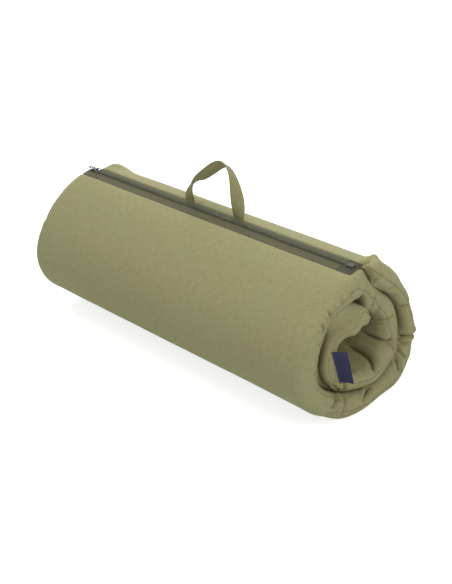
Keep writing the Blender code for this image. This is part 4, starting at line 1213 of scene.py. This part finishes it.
class MATTRESS_OT_strap(bpy.types.Operator):
    """Sew on the carry strap"""
    bl_idname = "mattress.strap"
    bl_label = "Carry strap"

    # Right half of the folded strap's top, with its stitched groove: shares of half its width and thickness
    HALF_TOP = (
        (0.0, 0.82), (0.3, 0.85), (0.6, 0.92), (0.76, 0.86), (0.8, 0.62), (0.84, 0.9), (0.9, 0.98),
        (0.97, 0.6),
    )

    def execute(self, context):
        settings = context.scene.mattress_roll.strap
        cloth = context.scene.mattress_roll.cloth
        canvas = woven_material("strap_cloth", cloth.canvas_colour, cloth.thread_pitch, CANVAS_RELIEF)
        base = zip_matrix(0.0, STRAP_S, STRAP_AXIS_HEIGHT).translation
        line = strap_line()
        length = walked(line[:, :2])
        tangent = unit(np.gradient(line[:, :2], axis=0))
        half_width, half_thick = 0.5 * self.section() * [[settings.width], [settings.thickness]]
        rings = []
        for (x, height, twist), (run, climb) in zip(line, tangent):
            flat = np.array([climb, 0.0, -run])
            width = flat * math.cos(twist) - np.array([0.0, math.sin(twist), 0.0])
            face = np.cross([run, 0.0, climb], width)
            middle = np.array(base) + [x, 0.0, height]
            rings.append(middle + half_width[:, None] * width + half_thick[:, None] * face)
        sunk = np.array([0.0, 0.0, STRAP_SUNK])
        rings = np.array([rings[0] - sunk, *rings, rings[-1] - sunk])
        along = np.concatenate([[-STRAP_SUNK], length, [length[-1] + STRAP_SUNK]])
        around = np.append(half_width, half_width[0])
        strap = ringed_piece("strap_loop", rings, along, around, canvas, None)
        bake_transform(strap)
        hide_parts("handle_strap", "handle_strap_end_left", "handle_strap_end_right")
        return {"FINISHED"}

    def section(self):
        """Outline of the folded strap, as shares of half its width and of half its thickness."""
        top = [(-share, rise) for share, rise in self.HALF_TOP[:0:-1]] + list(self.HALF_TOP)
        low = [(share, -rise) for share, rise in reversed(top)]
        return np.array([(-1.0, 0.0), *top, (1.0, 0.0), *low]).T


class MATTRESS_OT_label(bpy.types.Operator):
    """Sew the blank woven label into the inner turn's seam"""
    bl_idname = "mattress.label"
    bl_label = "Blank label"

    ROWS = 31
    COLUMNS = 17
    WAVE = 0.9 * MM
    WAVELENGTH = 22 * MM

    def execute(self, context):
        settings = context.scene.mattress_roll.label
        cloth = woven_material(
            "label_cloth", settings.colour, *FINE_WEAVE, streak=0.3, sheen=0.04, roughness=0.75,
        )
        matrix = self.place()
        u = np.linspace(-0.5, 0.5, self.ROWS)[:, None] * LABEL_LENGTH
        v = np.linspace(0.0, 1.0, self.COLUMNS)[None, :]
        wave = ripple(stacked(u, v * LABEL_WIDTH), self.WAVELENGTH, 4.4) * self.WAVE * v
        # It starts at its solid's angle and soon bends up to the full lift
        bend = LABEL_SOLID_LIFT + (settings.lift - LABEL_SOLID_LIFT) * smooth(v / 0.25)
        lower = 1.0 - smooth((u / LABEL_LENGTH + 0.5) / 0.8)
        bend = bend + settings.curl * smooth((v - 0.3) / 0.7) * lower
        facing = stacked(-np.sin(bend), 0.0, np.cos(bend))
        heading = stacked(np.cos(bend), 0.0, np.sin(bend))
        heading[:, 0] = 0.0
        grid = np.cumsum(heading, axis=1) * LABEL_WIDTH / (self.COLUMNS - 1) + facing * wave[..., None]
        grid[..., 1] = u + LABEL_SKEW * v
        half = 0.5 * LABEL_THICK * facing
        rings = placed(np.concatenate([grid + half, (grid - half)[:, ::-1]], axis=1), matrix)
        across = v[0] * LABEL_WIDTH
        around = np.concatenate([across, 2 * LABEL_WIDTH - across[::-1], [2 * LABEL_WIDTH]])
        label = ringed_piece("blank_label", rings, u[:, 0], around, cloth, None, sharp=70)
        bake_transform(label)
        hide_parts("side_label")
        return {"FINISHED"}

    def place(self):
        """Label's matrix: X across the turn's side from the sewn edge, Y along it, Z out."""
        ends = []
        for turn in LABEL_TURNS:
            step_in, _, share = side_shape(turn, 1)
            outer = outer_depth(turn)
            seam = outer + share * (inner_depth(turn) - outer)
            ends.append(Vector(roll_points(0.5 * ROLL_LENGTH - step_in + LABEL_PROUD, turn, seam)))
        along = (ends[1] - ends[0]).normalized()
        across = along.cross(Vector((1.0, 0.0, 0.0))).normalized()
        return axes_matrix(across, along, across.cross(along), 0.5 * (ends[0] + ends[1]))


STEPS = (
    MATTRESS_OT_stage, MATTRESS_OT_cover, MATTRESS_OT_tapes, MATTRESS_OT_chain, MATTRESS_OT_metal,
    MATTRESS_OT_strap, MATTRESS_OT_label,
)


class MATTRESS_PT_panel(bpy.types.Panel):
    """Lists the roll's sizes, colours and building steps"""
    bl_label = "Rolled mattress"
    bl_idname = "MATTRESS_PT_panel"
    bl_space_type = "VIEW_3D"
    bl_region_type = "UI"
    bl_category = "Mattress"

    def draw(self, context):
        settings = context.scene.mattress_roll
        for group in (settings.cloth, settings.zipper, settings.strap, settings.label, settings.stage):
            box = self.layout.box()
            for name in group.bl_rna.properties.keys():
                if name not in ("rna_type", "name"):
                    box.prop(group, name)
        for step in STEPS:
            self.layout.operator(step.bl_idname)


CLASSES = (
    ClothSettings, ZipperSettings, StrapSettings, LabelSettings, StageSettings, MattressRollSettings,
    *STEPS, MATTRESS_PT_panel,
)


def register():
    for each in CLASSES:
        bpy.utils.register_class(each)
    bpy.types.Scene.mattress_roll = PointerProperty(type=MattressRollSettings)


def unregister():
    del bpy.types.Scene.mattress_roll
    for each in reversed(CLASSES):
        bpy.utils.unregister_class(each)


def main():
    register()
    for step in STEPS:
        group, name = step.bl_idname.split(".")
        getattr(getattr(bpy.ops, group), name)()


if __name__ == "__main__":
    main()
